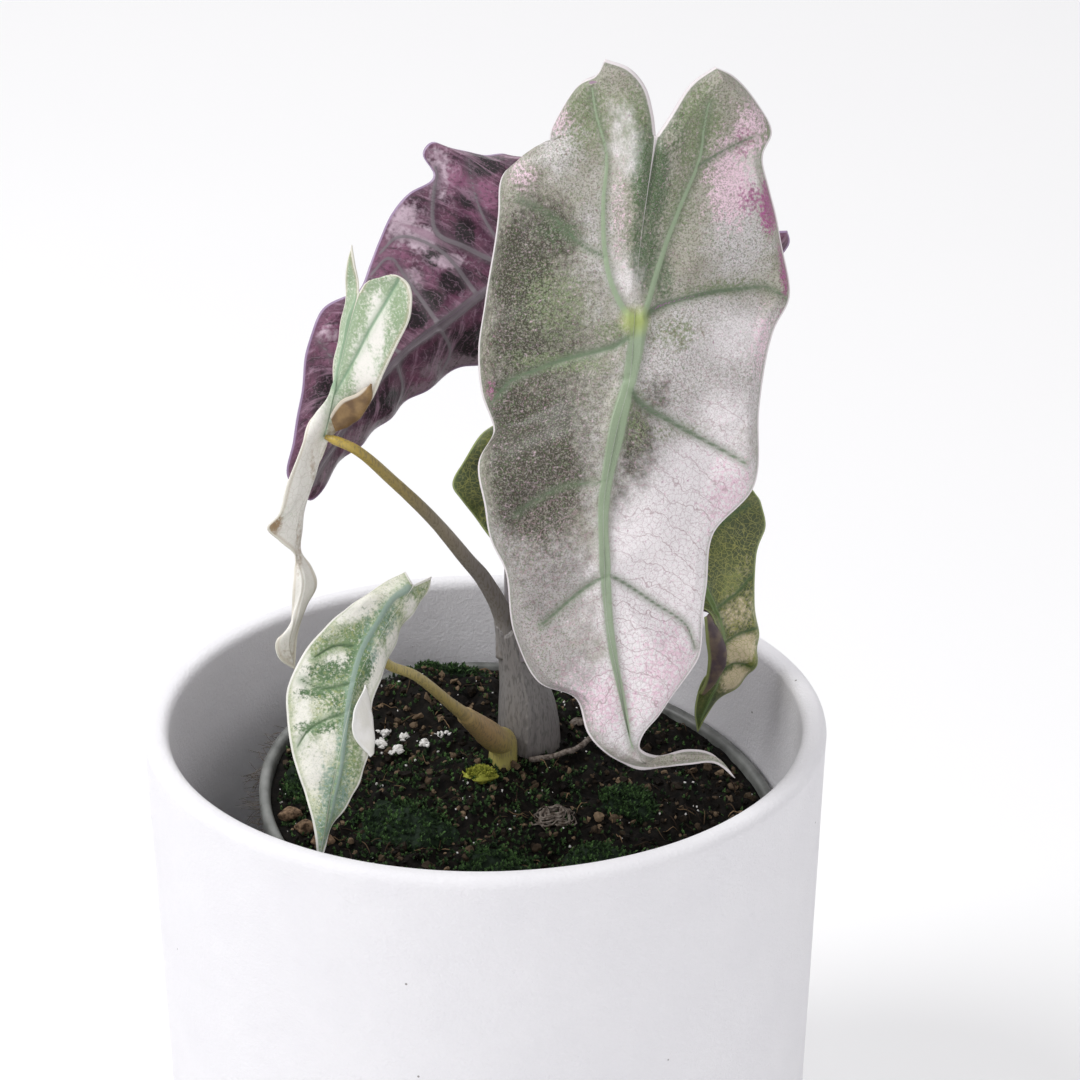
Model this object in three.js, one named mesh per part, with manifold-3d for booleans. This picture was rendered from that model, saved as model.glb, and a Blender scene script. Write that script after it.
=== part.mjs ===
// A young alocasia in its nursery pot, standing inside a white ceramic cachepot.
// Millimetres, +Z up. The origin is the middle of the cachepot's underside, and -Y is the front.

import * as THREE from 'three';
import { mergeVertices } from 'three/addons/utils/BufferGeometryUtils.js';
import Module from 'manifold-3d';

const wasm = await Module();
wasm.setup();

// ---------------------------------------------------------------- driving dimensions

// Ceramic cachepot
const POT_HEIGHT = 128;
const RIM_RADIUS = 70; // outside, at the rim
const POT_TAPER = 0.025; // radius lost for each millimetre below the rim
const POT_WALL = 5;
const POT_FLOOR = 6;
const RIM_ROUND = 2.2; // radius of both edges of the rim
const FOOT_ROUND = 2.5; // radius where the wall meets the underside

// Thin plastic nursery pot, squeezed so that its rim slopes
const NURSERY_RIM_DEPTH = 23; // its rim below the cachepot's, in the middle
const NURSERY_BASE_RADIUS = 40;
const NURSERY_WALL = 0.9;
const NURSERY_LIP = 1.5; // how far the rim's band stands out
const NURSERY_LIP_HEIGHT = 5;
const NURSERY_SHIFT = new THREE.Vector2(7.6, 3.4); // middle of the rim
const NURSERY_LEAN = new THREE.Vector2(-0.103, 0.102); // rise of the rim for each millimetre
const NURSERY_CLEARANCE = 0.8; // rim to the cachepot's inside wall
const DRAIN_HOLES = 6;
const DRAIN_HOLE_RADIUS = 4;
const DRAIN_RING_RADIUS = 27;

// Potting mix
const SOIL_BELOW_RIM = 2;
const SOIL_DOME = 5.3; // extra height around the plant
const SOIL_DOME_SPREAD = 20;
const SOIL_DOME_CENTRE = new THREE.Vector2(5, 20);

// Plant
const STEM_FOOT = new THREE.Vector2(9.2, 23.3); // where the stem base leaves the mix
const STEM_RADIUS = 6.9; // at the mix
const CORM_RADIUS = 10.5;
const CORM_HEIGHT = 10;
const CORM_TOP = -5.3; // below the nursery pot's rim
const BLADE_THICKNESS = 0.7;
const SEAT_GAP = 0.3; // between pieces that touch

// Sides and steps of the faceted surfaces
const POT_SIDES = 72;
const NURSERY_SIDES = 48;
const STALK_SIDES = 10;
const STEM_SIDES = 18;
const BLADE_COLUMNS = 3; // across each half of a leaf

// ---------------------------------------------------------------- worked out from them

const soilLevel = POT_HEIGHT - NURSERY_RIM_DEPTH;
const nurseryFoot = POT_FLOOR + SEAT_GAP;
const nurseryHeight = soilLevel - nurseryFoot;
const nurseryRimRadius =
  RIM_RADIUS - POT_WALL - POT_TAPER * NURSERY_RIM_DEPTH - NURSERY_CLEARANCE - NURSERY_SHIFT.length();

const COLOURS = {
  ceramic: 0xf1f0f3,
  nursery: 0x8d9190,
  mix: 0x241f1b,
  corm: 0x6b5340,
  stem: 0x8d8890,
  stalkYellow: 0xb39a55,
  stalkGrey: 0x93907f,
  frontLeaf: 0xb5b3a5,
  paleLeaf: 0xd5dccb,
  purpleLeaf: 0x5e3a52,
  smallLeaf: 0xb9c8a6,
  greenLeaf: 0x5b6a2c,
  moss: 0x2d3d1c,
  limeMoss: 0xa7ad2b,
  perlite: 0xe9e7e2,
  clay: 0xb79a78,
  dry: 0x9a8a78,
};

// ---------------------------------------------------------------- general helpers

function vector([x, y, z]) {
  return new THREE.Vector3(x, y, z);
}

function signedVolume(points, triangles) {
  let sum = 0;
  for (const [a, b, c] of triangles) {
    sum += points[a].dot(new THREE.Vector3().crossVectors(points[b], points[c]));
  }
  return sum / 6;
}

// Makes one closed, outward-facing geometry from points and triangles.
function closedGeometry(points, triangles) {
  const flip = signedVolume(points, triangles) < 0;
  const index = triangles.flatMap(([a, b, c]) => (flip ? [a, c, b] : [a, b, c]));
  const geometry = new THREE.BufferGeometry();
  const positions = points.flatMap((point) => point.toArray());
  geometry.setAttribute('position', new THREE.Float32BufferAttribute(positions, 3));
  geometry.setIndex(index);
  return geometry;
}

// Gives back a geometry's points and triangles with shared points merged.
function mergedSurface(geometry) {
  const bare = geometry.clone();
  bare.deleteAttribute('normal');
  bare.deleteAttribute('uv');
  const merged = mergeVertices(bare, 1e-4);
  const position = merged.getAttribute('position');
  const points = [];
  for (let i = 0; i < position.count; i++) {
    points.push(new THREE.Vector3().fromBufferAttribute(position, i));
  }
  const index = merged.getIndex().array;
  const triangles = [];
  for (let i = 0; i < index.length; i += 3) {
    const [a, b, c] = [index[i], index[i + 1], index[i + 2]];
    if (a !== b && b !== c && c !== a) triangles.push([a, b, c]);
  }
  return { points, triangles };
}

// Joins rings of equally many points into a solid that is capped at both ends.
function loft(rings, startMiddle, endMiddle) {
  const sides = rings[0].length;
  const points = [...rings.flat(), startMiddle, endMiddle];
  const start = points.length - 2;
  const end = points.length - 1;
  const last = (rings.length - 1) * sides;
  const triangles = [];
  for (let i = 0; i < rings.length - 1; i++) {
    for (let j = 0; j < sides; j++) {
      const a = i * sides + j;
      const b = i * sides + ((j + 1) % sides);
      triangles.push([a, b, b + sides]);
      triangles.push([a, b + sides, a + sides]);
    }
  }
  for (let j = 0; j < sides; j++) {
    const next = (j + 1) % sides;
    triangles.push([start, next, j]);
    triangles.push([end, last + j, last + next]);
  }
  return closedGeometry(points, triangles);
}

function circleAngles(sides) {
  return Array.from({ length: sides }, (_, j) => (2 * Math.PI * j) / sides);
}

function flatRing(centre, radius, height, sides) {
  return circleAngles(sides).map(
    (angle) =>
      new THREE.Vector3(
        centre.x + radius * Math.cos(angle),
        centre.y + radius * Math.sin(angle),
        height,
      ),
  );
}

// A round stalk that follows a smooth curve and changes radius evenly between the given radii.
function stalkGeometry(points, radii, sides, steps) {
  const curve = new THREE.CatmullRomCurve3(points);
  const frames = curve.computeFrenetFrames(steps, false);
  const rings = [];
  for (let i = 0; i <= steps; i++) {
    const along = i / steps;
    const middle = curve.getPointAt(along);
    const place = along * (radii.length - 1);
    const before = Math.min(Math.floor(place), radii.length - 2);
    const radius = THREE.MathUtils.lerp(radii[before], radii[before + 1], place - before);
    const ring = circleAngles(sides).map((angle) =>
      middle
        .clone()
        .addScaledVector(frames.normals[i], radius * Math.cos(angle))
        .addScaledVector(frames.binormals[i], radius * Math.sin(angle)),
    );
    rings.push(ring);
  }
  return loft(rings, points[0], points[points.length - 1]);
}

function toManifold(geometry) {
  const { points, triangles } = mergedSurface(geometry);
  return new wasm.Manifold(
    new wasm.Mesh({
      numProp: 3,
      vertProperties: Float32Array.from(points.flatMap((point) => point.toArray())),
      triVerts: Uint32Array.from(triangles.flat()),
    }),
  );
}

function fromManifold(manifold) {
  const mesh = manifold.getMesh();
  const points = [];
  for (let i = 0; i < mesh.vertProperties.length; i += mesh.numProp) {
    points.push(new THREE.Vector3(...mesh.vertProperties.slice(i, i + 3)));
  }
  const triangles = [];
  for (let i = 0; i < mesh.triVerts.length; i += 3) {
    triangles.push([...mesh.triVerts.slice(i, i + 3)]);
  }
  return closedGeometry(points, triangles);
}

function namedMesh(name, geometry, color, roughness) {
  const material = new THREE.MeshStandardMaterial({ color, roughness, metalness: 0 });
  const mesh = new THREE.Mesh(geometry, material);
  mesh.name = name;
  return mesh;
}

// ---------------------------------------------------------------- cachepot

function arc(x, y, radius, from, to, steps) {
  return Array.from({ length: steps + 1 }, (_, i) => {
    const angle = THREE.MathUtils.lerp(from, to, i / steps);
    return new THREE.Vector2(x + radius * Math.cos(angle), y + radius * Math.sin(angle));
  });
}

function outsideRadius(height) {
  return RIM_RADIUS - POT_TAPER * (POT_HEIGHT - height);
}

function cachepot() {
  const quarter = Math.PI / 2;
  const rimCentre = POT_HEIGHT - RIM_ROUND;
  const profile = [
    new THREE.Vector2(0, 0),
    ...arc(outsideRadius(FOOT_ROUND) - FOOT_ROUND, FOOT_ROUND, FOOT_ROUND, -quarter, 0, 3),
    ...arc(RIM_RADIUS - RIM_ROUND, rimCentre, RIM_ROUND, 0, quarter, 3),
    ...arc(RIM_RADIUS - POT_WALL + RIM_ROUND, rimCentre, RIM_ROUND, quarter, 2 * quarter, 3),
    new THREE.Vector2(outsideRadius(POT_FLOOR) - POT_WALL, POT_FLOOR),
    new THREE.Vector2(0, POT_FLOOR),
  ];
  const turned = new THREE.LatheGeometry(profile, POT_SIDES).rotateX(quarter);
  const { points, triangles } = mergedSurface(turned);
  return namedMesh('cachepot', closedGeometry(points, triangles), COLOURS.ceramic, 0.6);
}

// ---------------------------------------------------------------- nursery pot and mix

// A point of the nursery pot's side: height is above its foot, inset is inwards from its outside.
function nurseryPoint(angle, height, inset) {
  const share = height / nurseryHeight;
  const bandRadius = nurseryRimRadius - NURSERY_LIP;
  const radius = THREE.MathUtils.lerp(NURSERY_BASE_RADIUS, bandRadius, share) - inset;
  const x = radius * Math.cos(angle);
  const y = radius * Math.sin(angle);
  const rise = (NURSERY_LEAN.x * x + NURSERY_LEAN.y * y) * share * share;
  return new THREE.Vector3(
    NURSERY_SHIFT.x * share + x,
    NURSERY_SHIFT.y * share + y,
    nurseryFoot + height + rise,
  );
}

function nurseryRing(height, inset) {
  return circleAngles(NURSERY_SIDES).map((angle) => nurseryPoint(angle, height, inset));
}

const nurserySideSteps = [0.25, 0.5, 0.75].map((share) => share * nurseryHeight);

function nurseryPot() {
  const bandFoot = nurseryHeight - NURSERY_LIP_HEIGHT;
  const rings = [
    nurseryRing(0, 0),
    ...nurserySideSteps.map((height) => nurseryRing(height, 0)),
    nurseryRing(bandFoot, 0),
    nurseryRing(bandFoot, -NURSERY_LIP),
    nurseryRing(nurseryHeight, -NURSERY_LIP),
    nurseryRing(nurseryHeight, NURSERY_WALL),
    nurseryRing(bandFoot, NURSERY_WALL),
    ...nurserySideSteps.map((height) => nurseryRing(height, NURSERY_WALL)).reverse(),
    nurseryRing(NURSERY_WALL, NURSERY_WALL),
  ];
  const underside = new THREE.Vector3(0, 0, nurseryFoot);
  const floor = new THREE.Vector3(0, 0, nurseryFoot + NURSERY_WALL);
  let pot = toManifold(loft(rings, underside, floor));
  for (const angle of circleAngles(DRAIN_HOLES)) {
    const drill = new THREE.CylinderGeometry(DRAIN_HOLE_RADIUS, DRAIN_HOLE_RADIUS, 4 * NURSERY_WALL, 12);
    drill.rotateX(Math.PI / 2);
    drill.translate(
      DRAIN_RING_RADIUS * Math.cos(angle),
      DRAIN_RING_RADIUS * Math.sin(angle),
      nurseryFoot + NURSERY_WALL / 2,
    );
    pot = pot.subtract(toManifold(drill));
  }
  return namedMesh('nursery_pot', fromManifold(pot), COLOURS.nursery, 0.45);
}

// Height of the mix's surface, following the sloping rim and rising around the plant.
function soilHeight(x, y) {
  const slope =
    NURSERY_LEAN.x * (x - NURSERY_SHIFT.x) + NURSERY_LEAN.y * (y - NURSERY_SHIFT.y);
  const away = Math.hypot(x - SOIL_DOME_CENTRE.x, y - SOIL_DOME_CENTRE.y);
  const dome = SOIL_DOME * Math.exp(-(away * away) / (2 * SOIL_DOME_SPREAD * SOIL_DOME_SPREAD));
  return soilLevel - SOIL_BELOW_RIM + slope + dome;
}

function onSoil(point, lift = 0) {
  return new THREE.Vector3(point.x, point.y, soilHeight(point.x, point.y) + lift);
}

function pottingMix() {
  const inset = NURSERY_WALL + SEAT_GAP;
  const foot = NURSERY_WALL + SEAT_GAP;
  const edge = nurseryRing(nurseryHeight - SOIL_BELOW_RIM, inset).map((point) => onSoil(point));
  const hole = flatRing(STEM_FOOT, STEM_RADIUS + SEAT_GAP, 0, NURSERY_SIDES);
  const surface = [0, 0.14, 0.3, 0.46, 0.62, 0.78, 0.9, 1].map((share) =>
    edge.map((point, j) => onSoil(point.clone().lerp(hole[j], share))),
  );
  const cormTop = soilLevel + CORM_TOP + SEAT_GAP;
  const cormFoot = soilLevel + CORM_TOP - CORM_HEIGHT - SEAT_GAP;
  const rings = [
    nurseryRing(foot, inset),
    ...nurserySideSteps.map((height) => nurseryRing(height, inset)),
    ...surface,
    flatRing(STEM_FOOT, STEM_RADIUS + SEAT_GAP, cormTop, NURSERY_SIDES),
    flatRing(STEM_FOOT, CORM_RADIUS + SEAT_GAP, cormTop - 0.3 * CORM_HEIGHT, NURSERY_SIDES),
    flatRing(STEM_FOOT, CORM_RADIUS + SEAT_GAP, cormTop - 0.6 * CORM_HEIGHT, NURSERY_SIDES),
    flatRing(STEM_FOOT, 0.7 * CORM_RADIUS, cormFoot, NURSERY_SIDES),
  ];
  const underside = new THREE.Vector3(0, 0, nurseryFoot + foot);
  const holeFloor = new THREE.Vector3(STEM_FOOT.x, STEM_FOOT.y, cormFoot);
  return namedMesh('potting_mix', loft(rings, underside, holeFloor), COLOURS.mix, 0.95);
}

// ---------------------------------------------------------------- corm and stem base

function corm() {
  const top = soilLevel + CORM_TOP;
  const radii = [0.45, 0.85, 1, 1, 0.85, 0.55].map((share) => share * CORM_RADIUS);
  const drops = [1, 0.75, 0.55, 0.45, 0.25, 0].map((share) => share * CORM_HEIGHT);
  const rings = radii.map((radius, i) => flatRing(STEM_FOOT, radius, top - drops[i], STEM_SIDES));
  const foot = new THREE.Vector3(STEM_FOOT.x, STEM_FOOT.y, top - CORM_HEIGHT);
  const crown = new THREE.Vector3(STEM_FOOT.x, STEM_FOOT.y, top);
  return namedMesh('corm', loft(rings, foot, crown), COLOURS.corm, 0.85);
}

// The clasped leaf sheaths: a column that leans a little to the left as it rises.
const stemPoints = [
  [0, 0, CORM_TOP + SEAT_GAP],
  [0, 0, 3],
  [-0.2, -0.1, 14],
  [-1.2, -0.3, 24],
  [-2.4, -0.7, 32],
].map(([x, y, z]) => new THREE.Vector3(STEM_FOOT.x + x, STEM_FOOT.y + y, soilLevel + z));

const stemRadii = [0.99, 1, 0.95, 0.83, 0.8].map((share) => share * STEM_RADIUS);

function stemBase() {
  const geometry = stalkGeometry(stemPoints, stemRadii, STEM_SIDES, 12);
  return namedMesh('stem_base', geometry, COLOURS.stem, 0.6);
}

const stemTop = stemPoints[stemPoints.length - 1];
const stemDirection = new THREE.CatmullRomCurve3(stemPoints).getTangentAt(1);

// ---------------------------------------------------------------- leaves

// Evenly spaced points on the part of a curve that lies between two of its control points.
function spaced(curve, fromIndex, toIndex, steps) {
  const last = curve.points.length - 1;
  const fine = 200;
  const samples = Array.from({ length: fine + 1 }, (_, i) =>
    curve.getPoint(THREE.MathUtils.lerp(fromIndex, toIndex, i / fine) / last),
  );
  const lengths = [0];
  for (let i = 1; i <= fine; i++) {
    lengths.push(lengths[i - 1] + samples[i].distanceTo(samples[i - 1]));
  }
  const result = [];
  let k = 0;
  for (let i = 0; i <= steps; i++) {
    const wanted = (lengths[fine] * i) / steps;
    while (k < fine - 1 && lengths[k + 1] < wanted) k += 1;
    const span = lengths[k + 1] - lengths[k];
    const share = span > 0 ? Math.min((wanted - lengths[k]) / span, 1) : 0;
    result.push(samples[k].clone().lerp(samples[k + 1], share));
  }
  return result;
}

// Builds the middle surface of a leaf. Each half runs from the top of its lobe to the tip. Its
// inner line is the edge of the notch and then the midrib, and its outer line is the margin.
function leafSurface(leaf) {
  const plant = (list) => list.map((point) => vector(point).add(new THREE.Vector3(0, 0, soilLevel)));
  const midrib = new THREE.CatmullRomCurve3(plant(leaf.midrib));
  const midribEnd = leaf.midrib.length - 1;
  const seam = spaced(midrib, 0, midribEnd, leaf.rows);
  const points = [...seam];
  const triangles = [];
  const tip = seam.length - 1;
  for (const half of [leaf.left, leaf.right]) {
    const notch = new THREE.CatmullRomCurve3(plant([half.top, ...half.notchEdge, leaf.midrib[0]]));
    const outerPoints = [half.top, ...half.lobeMargin, ...half.margin, leaf.midrib[midribEnd]];
    const outer = new THREE.CatmullRomCurve3(plant(outerPoints));
    const shoulder = half.lobeMargin.length + 1;
    const lobeInner = spaced(notch, 0, half.notchEdge.length + 1, leaf.lobeRows);
    const lobeOuter = spaced(outer, 0, shoulder, leaf.lobeRows);
    const bodyOuter = spaced(outer, shoulder, outerPoints.length - 1, leaf.rows);
    const top = points.length;
    points.push(lobeInner[0]);
    const rows = [];
    for (let i = 1; i < leaf.lobeRows; i++) {
      rows.push({ inner: lobeInner[i], outer: lobeOuter[i] });
    }
    for (let i = 0; i < leaf.rows; i++) {
      rows.push({ seam: i, inner: seam[i], outer: bodyOuter[i] });
    }
    const ids = rows.map((row) => {
      const rowIds = [];
      for (let column = 0; column <= BLADE_COLUMNS; column++) {
        if (column === 0 && row.seam !== undefined) {
          rowIds.push(row.seam);
          continue;
        }
        rowIds.push(points.length);
        points.push(row.inner.clone().lerp(row.outer, column / BLADE_COLUMNS));
      }
      return rowIds;
    });
    const turn = half === leaf.left ? ([a, b, c]) => [a, b, c] : ([a, b, c]) => [a, c, b];
    for (let column = 0; column < BLADE_COLUMNS; column++) {
      triangles.push(turn([top, ids[0][column], ids[0][column + 1]]));
      const end = ids[ids.length - 1];
      triangles.push(turn([end[column], tip, end[column + 1]]));
      for (let i = 0; i < ids.length - 1; i++) {
        const [a, b] = [ids[i][column], ids[i][column + 1]];
        const [c, d] = [ids[i + 1][column], ids[i + 1][column + 1]];
        triangles.push(turn([a, c, b]));
        triangles.push(turn([b, c, d]));
      }
    }
  }
  return { points, triangles };
}

// Gives an open surface its thickness: both faces, and a narrow wall around every free edge.
function thicken({ points, triangles }, thickness) {
  const normals = points.map(() => new THREE.Vector3());
  const edges = new Map();
  for (const [a, b, c] of triangles) {
    const ab = points[b].clone().sub(points[a]);
    const ac = points[c].clone().sub(points[a]);
    const normal = ab.cross(ac);
    for (const corner of [a, b, c]) normals[corner].add(normal);
    for (const [from, to] of [[a, b], [b, c], [c, a]]) {
      if (edges.has(`${to}-${from}`)) edges.delete(`${to}-${from}`);
      else edges.set(`${from}-${to}`, [from, to]);
    }
  }
  normals.forEach((normal) => normal.normalize());
  const count = points.length;
  const half = thickness / 2;
  const upper = points.map((point, i) => point.clone().addScaledVector(normals[i], half));
  const lower = points.map((point, i) => point.clone().addScaledVector(normals[i], -half));
  const faces = [];
  for (const [a, b, c] of triangles) {
    faces.push([a, b, c]);
    faces.push([a + count, c + count, b + count]);
  }
  for (const [from, to] of edges.values()) {
    faces.push([from, from + count, to]);
    faces.push([to, from + count, to + count]);
  }
  return closedGeometry([...upper, ...lower], faces);
}

// Every list below is a hand-placed outline, with heights above the nursery pot's rim.
const leaves = {
  front: {
    rows: 20,
    lobeRows: 4,
    midrib: [
      [32.5, -12, 148.5], [31, -14, 138.5], [29.5, -17, 128], [28.5, -20, 115], [27.5, -25, 105],
      [25, -30, 97], [22.5, -35, 84.5], [22.5, -38, 73.5], [23, -41, 62.5], [25, -43, 52],
      [27.5, -43, 38.5], [29.5, -41, 32.5], [34, -38, 30.5], [39.5, -36, 31], [44.5, -35, 29.5],
      [48.5, -36, 26],
    ],
    junction: 3,
    left: {
      top: [23, -9, 162.5],
      notchEdge: [[27.5, -10, 161], [30.5, -10, 157.5], [32, -11, 152.5]],
      lobeMargin: [[21.5, -7, 159], [17.5, -4, 155.5], [13.5, -3, 147.5], [12.5, -4, 144]],
      margin: [
        [4.5, -4, 139.5], [3, -8, 132], [0.5, -12, 116], [-1, -17, 109], [-0.5, -20, 101],
        [2, -21, 93], [-1, -27, 88.5], [0, -31, 82], [1, -31, 75], [4, -34, 69.5],
        [5.5, -37, 57.5], [10, -40, 49.5], [17, -42, 46.5], [19.5, -44, 40], [24, -44, 35],
        [29.5, -42, 31.5], [34, -39, 30], [39.5, -37, 29.5], [44.5, -36, 29],
      ],
    },
    right: {
      top: [43.5, -9, 161],
      notchEdge: [[39, -10, 158], [35, -11, 152]],
      lobeMargin: [[47, -8, 159], [52, -6, 153], [54.5, -6, 147.5], [53, -8, 143.5]],
      margin: [
        [54.5, -8, 136.5], [58.5, -10, 116.5], [55.5, -14, 110.5], [52.5, -20, 97],
        [51.5, -24, 82.5], [43.5, -31, 75.5], [42, -34, 65.5], [41, -37, 54], [38, -40, 49.5],
        [33.5, -42, 43.5], [30, -43, 39.5], [29.5, -42, 36], [33.5, -38, 32], [39, -36, 32.5],
        [44, -35, 31],
      ],
    },
  },
  twisted: {
    rows: 22,
    lobeRows: 4,
    midrib: [
      [-23.5, -15, 119], [-25.5, -14, 111.5], [-28, -13, 101], [-31, -12, 89], [-33, -15, 82.5],
      [-36, -17, 75], [-37, -18, 67.5], [-35.5, -20, 61.5], [-37, -21, 55], [-38.5, -22, 49],
      [-37.5, -23, 44],
    ],
    junction: 3,
    left: {
      top: [-24.5, -16, 129],
      notchEdge: [[-24, -16, 125], [-23.5, -15, 121.5]],
      lobeMargin: [[-25.5, -15, 125.5], [-26, -12, 119.5]],
      margin: [
        [-26.5, -11, 114.5], [-28.5, -11, 105], [-29.5, -12, 96.5], [-33.5, -13, 92.5],
        [-35, -16, 89], [-37.5, -20, 83], [-39.5, -21, 76.5], [-42, -22, 74], [-39.5, -20, 70],
        [-37, -19, 66.5], [-37.5, -20, 60.5], [-38.5, -21, 52], [-41, -23, 50], [-40.5, -24, 47],
      ],
    },
    right: {
      top: [-19.5, -17, 122.5],
      notchEdge: [[-22, -16, 121.5]],
      lobeMargin: [[-16, -19, 124]],
      margin: [
        [-13.5, -20, 121.5], [-13.5, -20, 117], [-16, -19, 110.5], [-19, -18, 104],
        [-22, -15, 96.5], [-26.5, -10.5, 91.5], [-30, -10.5, 88], [-32, -14, 84], [-34.5, -14, 76.5],
        [-36, -15, 66.5], [-34, -17, 63.5], [-33, -18, 60], [-35, -19, 55.5], [-37, -20, 50.5],
      ],
    },
  },
  back: {
    rows: 16,
    lobeRows: 4,
    midrib: [
      [35, 34, 120], [24, 34, 117], [13, 34, 111], [2, 33, 104.5], [-5.5, 31, 99],
      [-14.5, 29, 93], [-23, 26, 84.5], [-28.5, 23, 77], [-33.5, 20, 70.5], [-37.5, 18, 64],
    ],
    junction: 1,
    left: {
      top: [45.5, 37, 125],
      notchEdge: [[40.5, 35, 122]],
      lobeMargin: [[37.5, 39, 129], [26, 41, 130.5]],
      margin: [
        [16, 42, 130], [8.5, 43, 127.5], [5, 43, 129], [0, 43, 128.5], [-5, 43, 130],
        [-10, 42, 132], [-12, 41, 130], [-10, 38, 125.5], [-15, 37, 122.5], [-18.5, 36, 118.5],
        [-21, 34, 113.5], [-23, 32, 109], [-25.5, 30, 104], [-28.5, 29, 103], [-33, 28, 100.5],
        [-36, 25, 93], [-37.5, 22, 83.5], [-39, 20, 75.5], [-40.5, 19, 68],
      ],
    },
    right: {
      top: [62, 31, 116],
      notchEdge: [[51.5, 32, 115.5], [42.5, 33, 117.5]],
      lobeMargin: [[62.5, 31, 113], [53, 33, 103.5], [42.5, 34, 99]],
      margin: [
        [32.5, 35, 93.5], [22, 36, 89.5], [9.5, 36, 87.5], [-1, 36, 85.5], [-5, 35, 85],
        [-10.5, 34, 82], [-18, 31, 77.5], [-23, 28, 73.5], [-28.5, 24, 70], [-36, 19, 62.5],
      ],
    },
  },
  small: {
    rows: 14,
    lobeRows: 2,
    midrib: [
      [-14, -22, 61.5], [-16, -24, 59], [-18.5, -27, 56.5], [-21, -31, 53.5], [-23.5, -35, 50.5],
      [-25.5, -39, 46], [-27, -43, 41], [-28.5, -46, 35], [-30, -48, 28.5], [-31.5, -50, 21],
      [-32.5, -51, 15.5],
    ],
    junction: 3,
    left: {
      top: [-15.5, -19, 63],
      notchEdge: [],
      lobeMargin: [[-19.5, -22, 62]],
      margin: [
        [-25.5, -28, 60.5], [-31.5, -33, 57], [-35.5, -36, 52.5], [-38, -39, 47.5],
        [-38, -42, 43.5], [-37, -46, 37.5], [-34.5, -48, 29], [-33, -50, 23],
      ],
    },
    right: {
      top: [-10.5, -18, 61.5],
      notchEdge: [],
      lobeMargin: [[-11.5, -19, 58.5]],
      margin: [
        [-13.5, -21, 56], [-16, -23, 53.5], [-18, -26, 50], [-20, -32, 47], [-22, -36, 43.5],
        [-22, -40, 39], [-23, -43, 34], [-26, -46, 27.5], [-29.5, -48, 23],
      ],
    },
  },
  low: {
    rows: 16,
    lobeRows: 4,
    midrib: [
      [23.5, 9, 81], [24.5, 8, 78.5], [25.5, 7, 75.5], [33.5, 7, 65], [41.5, 9, 52.5],
      [47, 12, 41], [49.5, 14, 32], [48, 16, 20.5], [46, 17, 14.5], [45, 18, 8.5],
    ],
    junction: 2,
    left: {
      top: [5.5, 13, 83],
      notchEdge: [[15.5, 11, 82]],
      lobeMargin: [[0, 12, 80], [-4.5, 12, 73]],
      margin: [
        [-6.5, 12, 68.5], [-4.5, 11, 65.5], [0.5, 10, 58.5], [9, 9, 49.5], [21.5, 8, 42],
        [36, 8, 39], [45, 9, 42], [48, 10, 34.5], [49, 11, 30], [46, 13, 23.5],
        [44.5, 15, 18.5], [44, 16, 14.5],
      ],
    },
    right: {
      top: [42, 14, 80.5],
      notchEdge: [[31.5, 11, 80.5]],
      lobeMargin: [[49, 14, 75.5]],
      margin: [
        [55, 16, 65.5], [57, 17, 62], [58, 18, 56], [56.5, 18, 49.5], [56, 18, 43.5],
        [57, 19, 35], [57.5, 19, 27.5], [57, 19, 23.5], [54.5, 19, 20], [51, 18, 17.5],
        [48, 18, 14.5], [46, 18, 11.5],
      ],
    },
  },
};

function blade(name, leaf, color) {
  return namedMesh(name, thicken(leafSurface(leaf), BLADE_THICKNESS), color, 0.5);
}

// ---------------------------------------------------------------- stalks

// A stalk stands on the stem's top face, with its foot given as shares of that face's radius, or on
// the mix beside the stem, with its bearing given. It ends behind its leaf's junction, and its end
// face stands as far off the blade as its slant needs.
const stalks = {
  front: {
    foot: [-0.163, 0.58],
    route: [[6, 24.5, 50], [8, 20, 70], [12.5, 12, 88], [20.5, -1, 103], [28, -15, 113]],
    side: [0, 0.92, -0.39],
    standOff: 1.2,
    radii: [1.7, 1.7, 1.6, 1.4, 1.2],
  },
  twisted: {
    foot: [-0.525, -0.109],
    route: [[-0.2, 18, 44.5], [-3.7, 15, 50.5], [-10, 8, 62], [-18, -3, 75.5], [-25.5, -13.5, 87]],
    side: [0.4, -0.9, -0.1],
    standOff: 1.5,
    radii: [1.8, 1.6, 1.3, 1.1, 0.9],
  },
  back: {
    foot: [0.525, 0.254],
    route: [[11, 26.5, 52], [14, 27.5, 75], [19, 28, 98], [22.5, 29.5, 110]],
    side: [-0.1, -0.95, -0.3],
    standOff: 1.5,
    radii: [1.7, 1.6, 1.4, 1.2],
  },
  low: {
    foot: [0.236, -0.507],
    route: [[12, 20, 46], [18, 16, 61], [23.5, 11, 71.5]],
    side: [0.1, 0.95, -0.3],
    standOff: 1.4,
    radii: [1.4, 1.3, 1.1, 1],
  },
  small: {
    bearing: [-5.8, -8.6],
    route: [[2.4, 13, 9.5], [-1.5, 6, 16.5], [-7, -4, 26.5], [-14, -16, 39], [-19.2, -23, 45]],
    side: [-0.35, 0.8, -0.5],
    standOff: 1.75,
    radii: [3, 2.9, 1.5, 1.2, 1.1, 1],
  },
};

const SOIL_SLOPE = 0.3; // steepest rise of the mix under a stalk's foot

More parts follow.
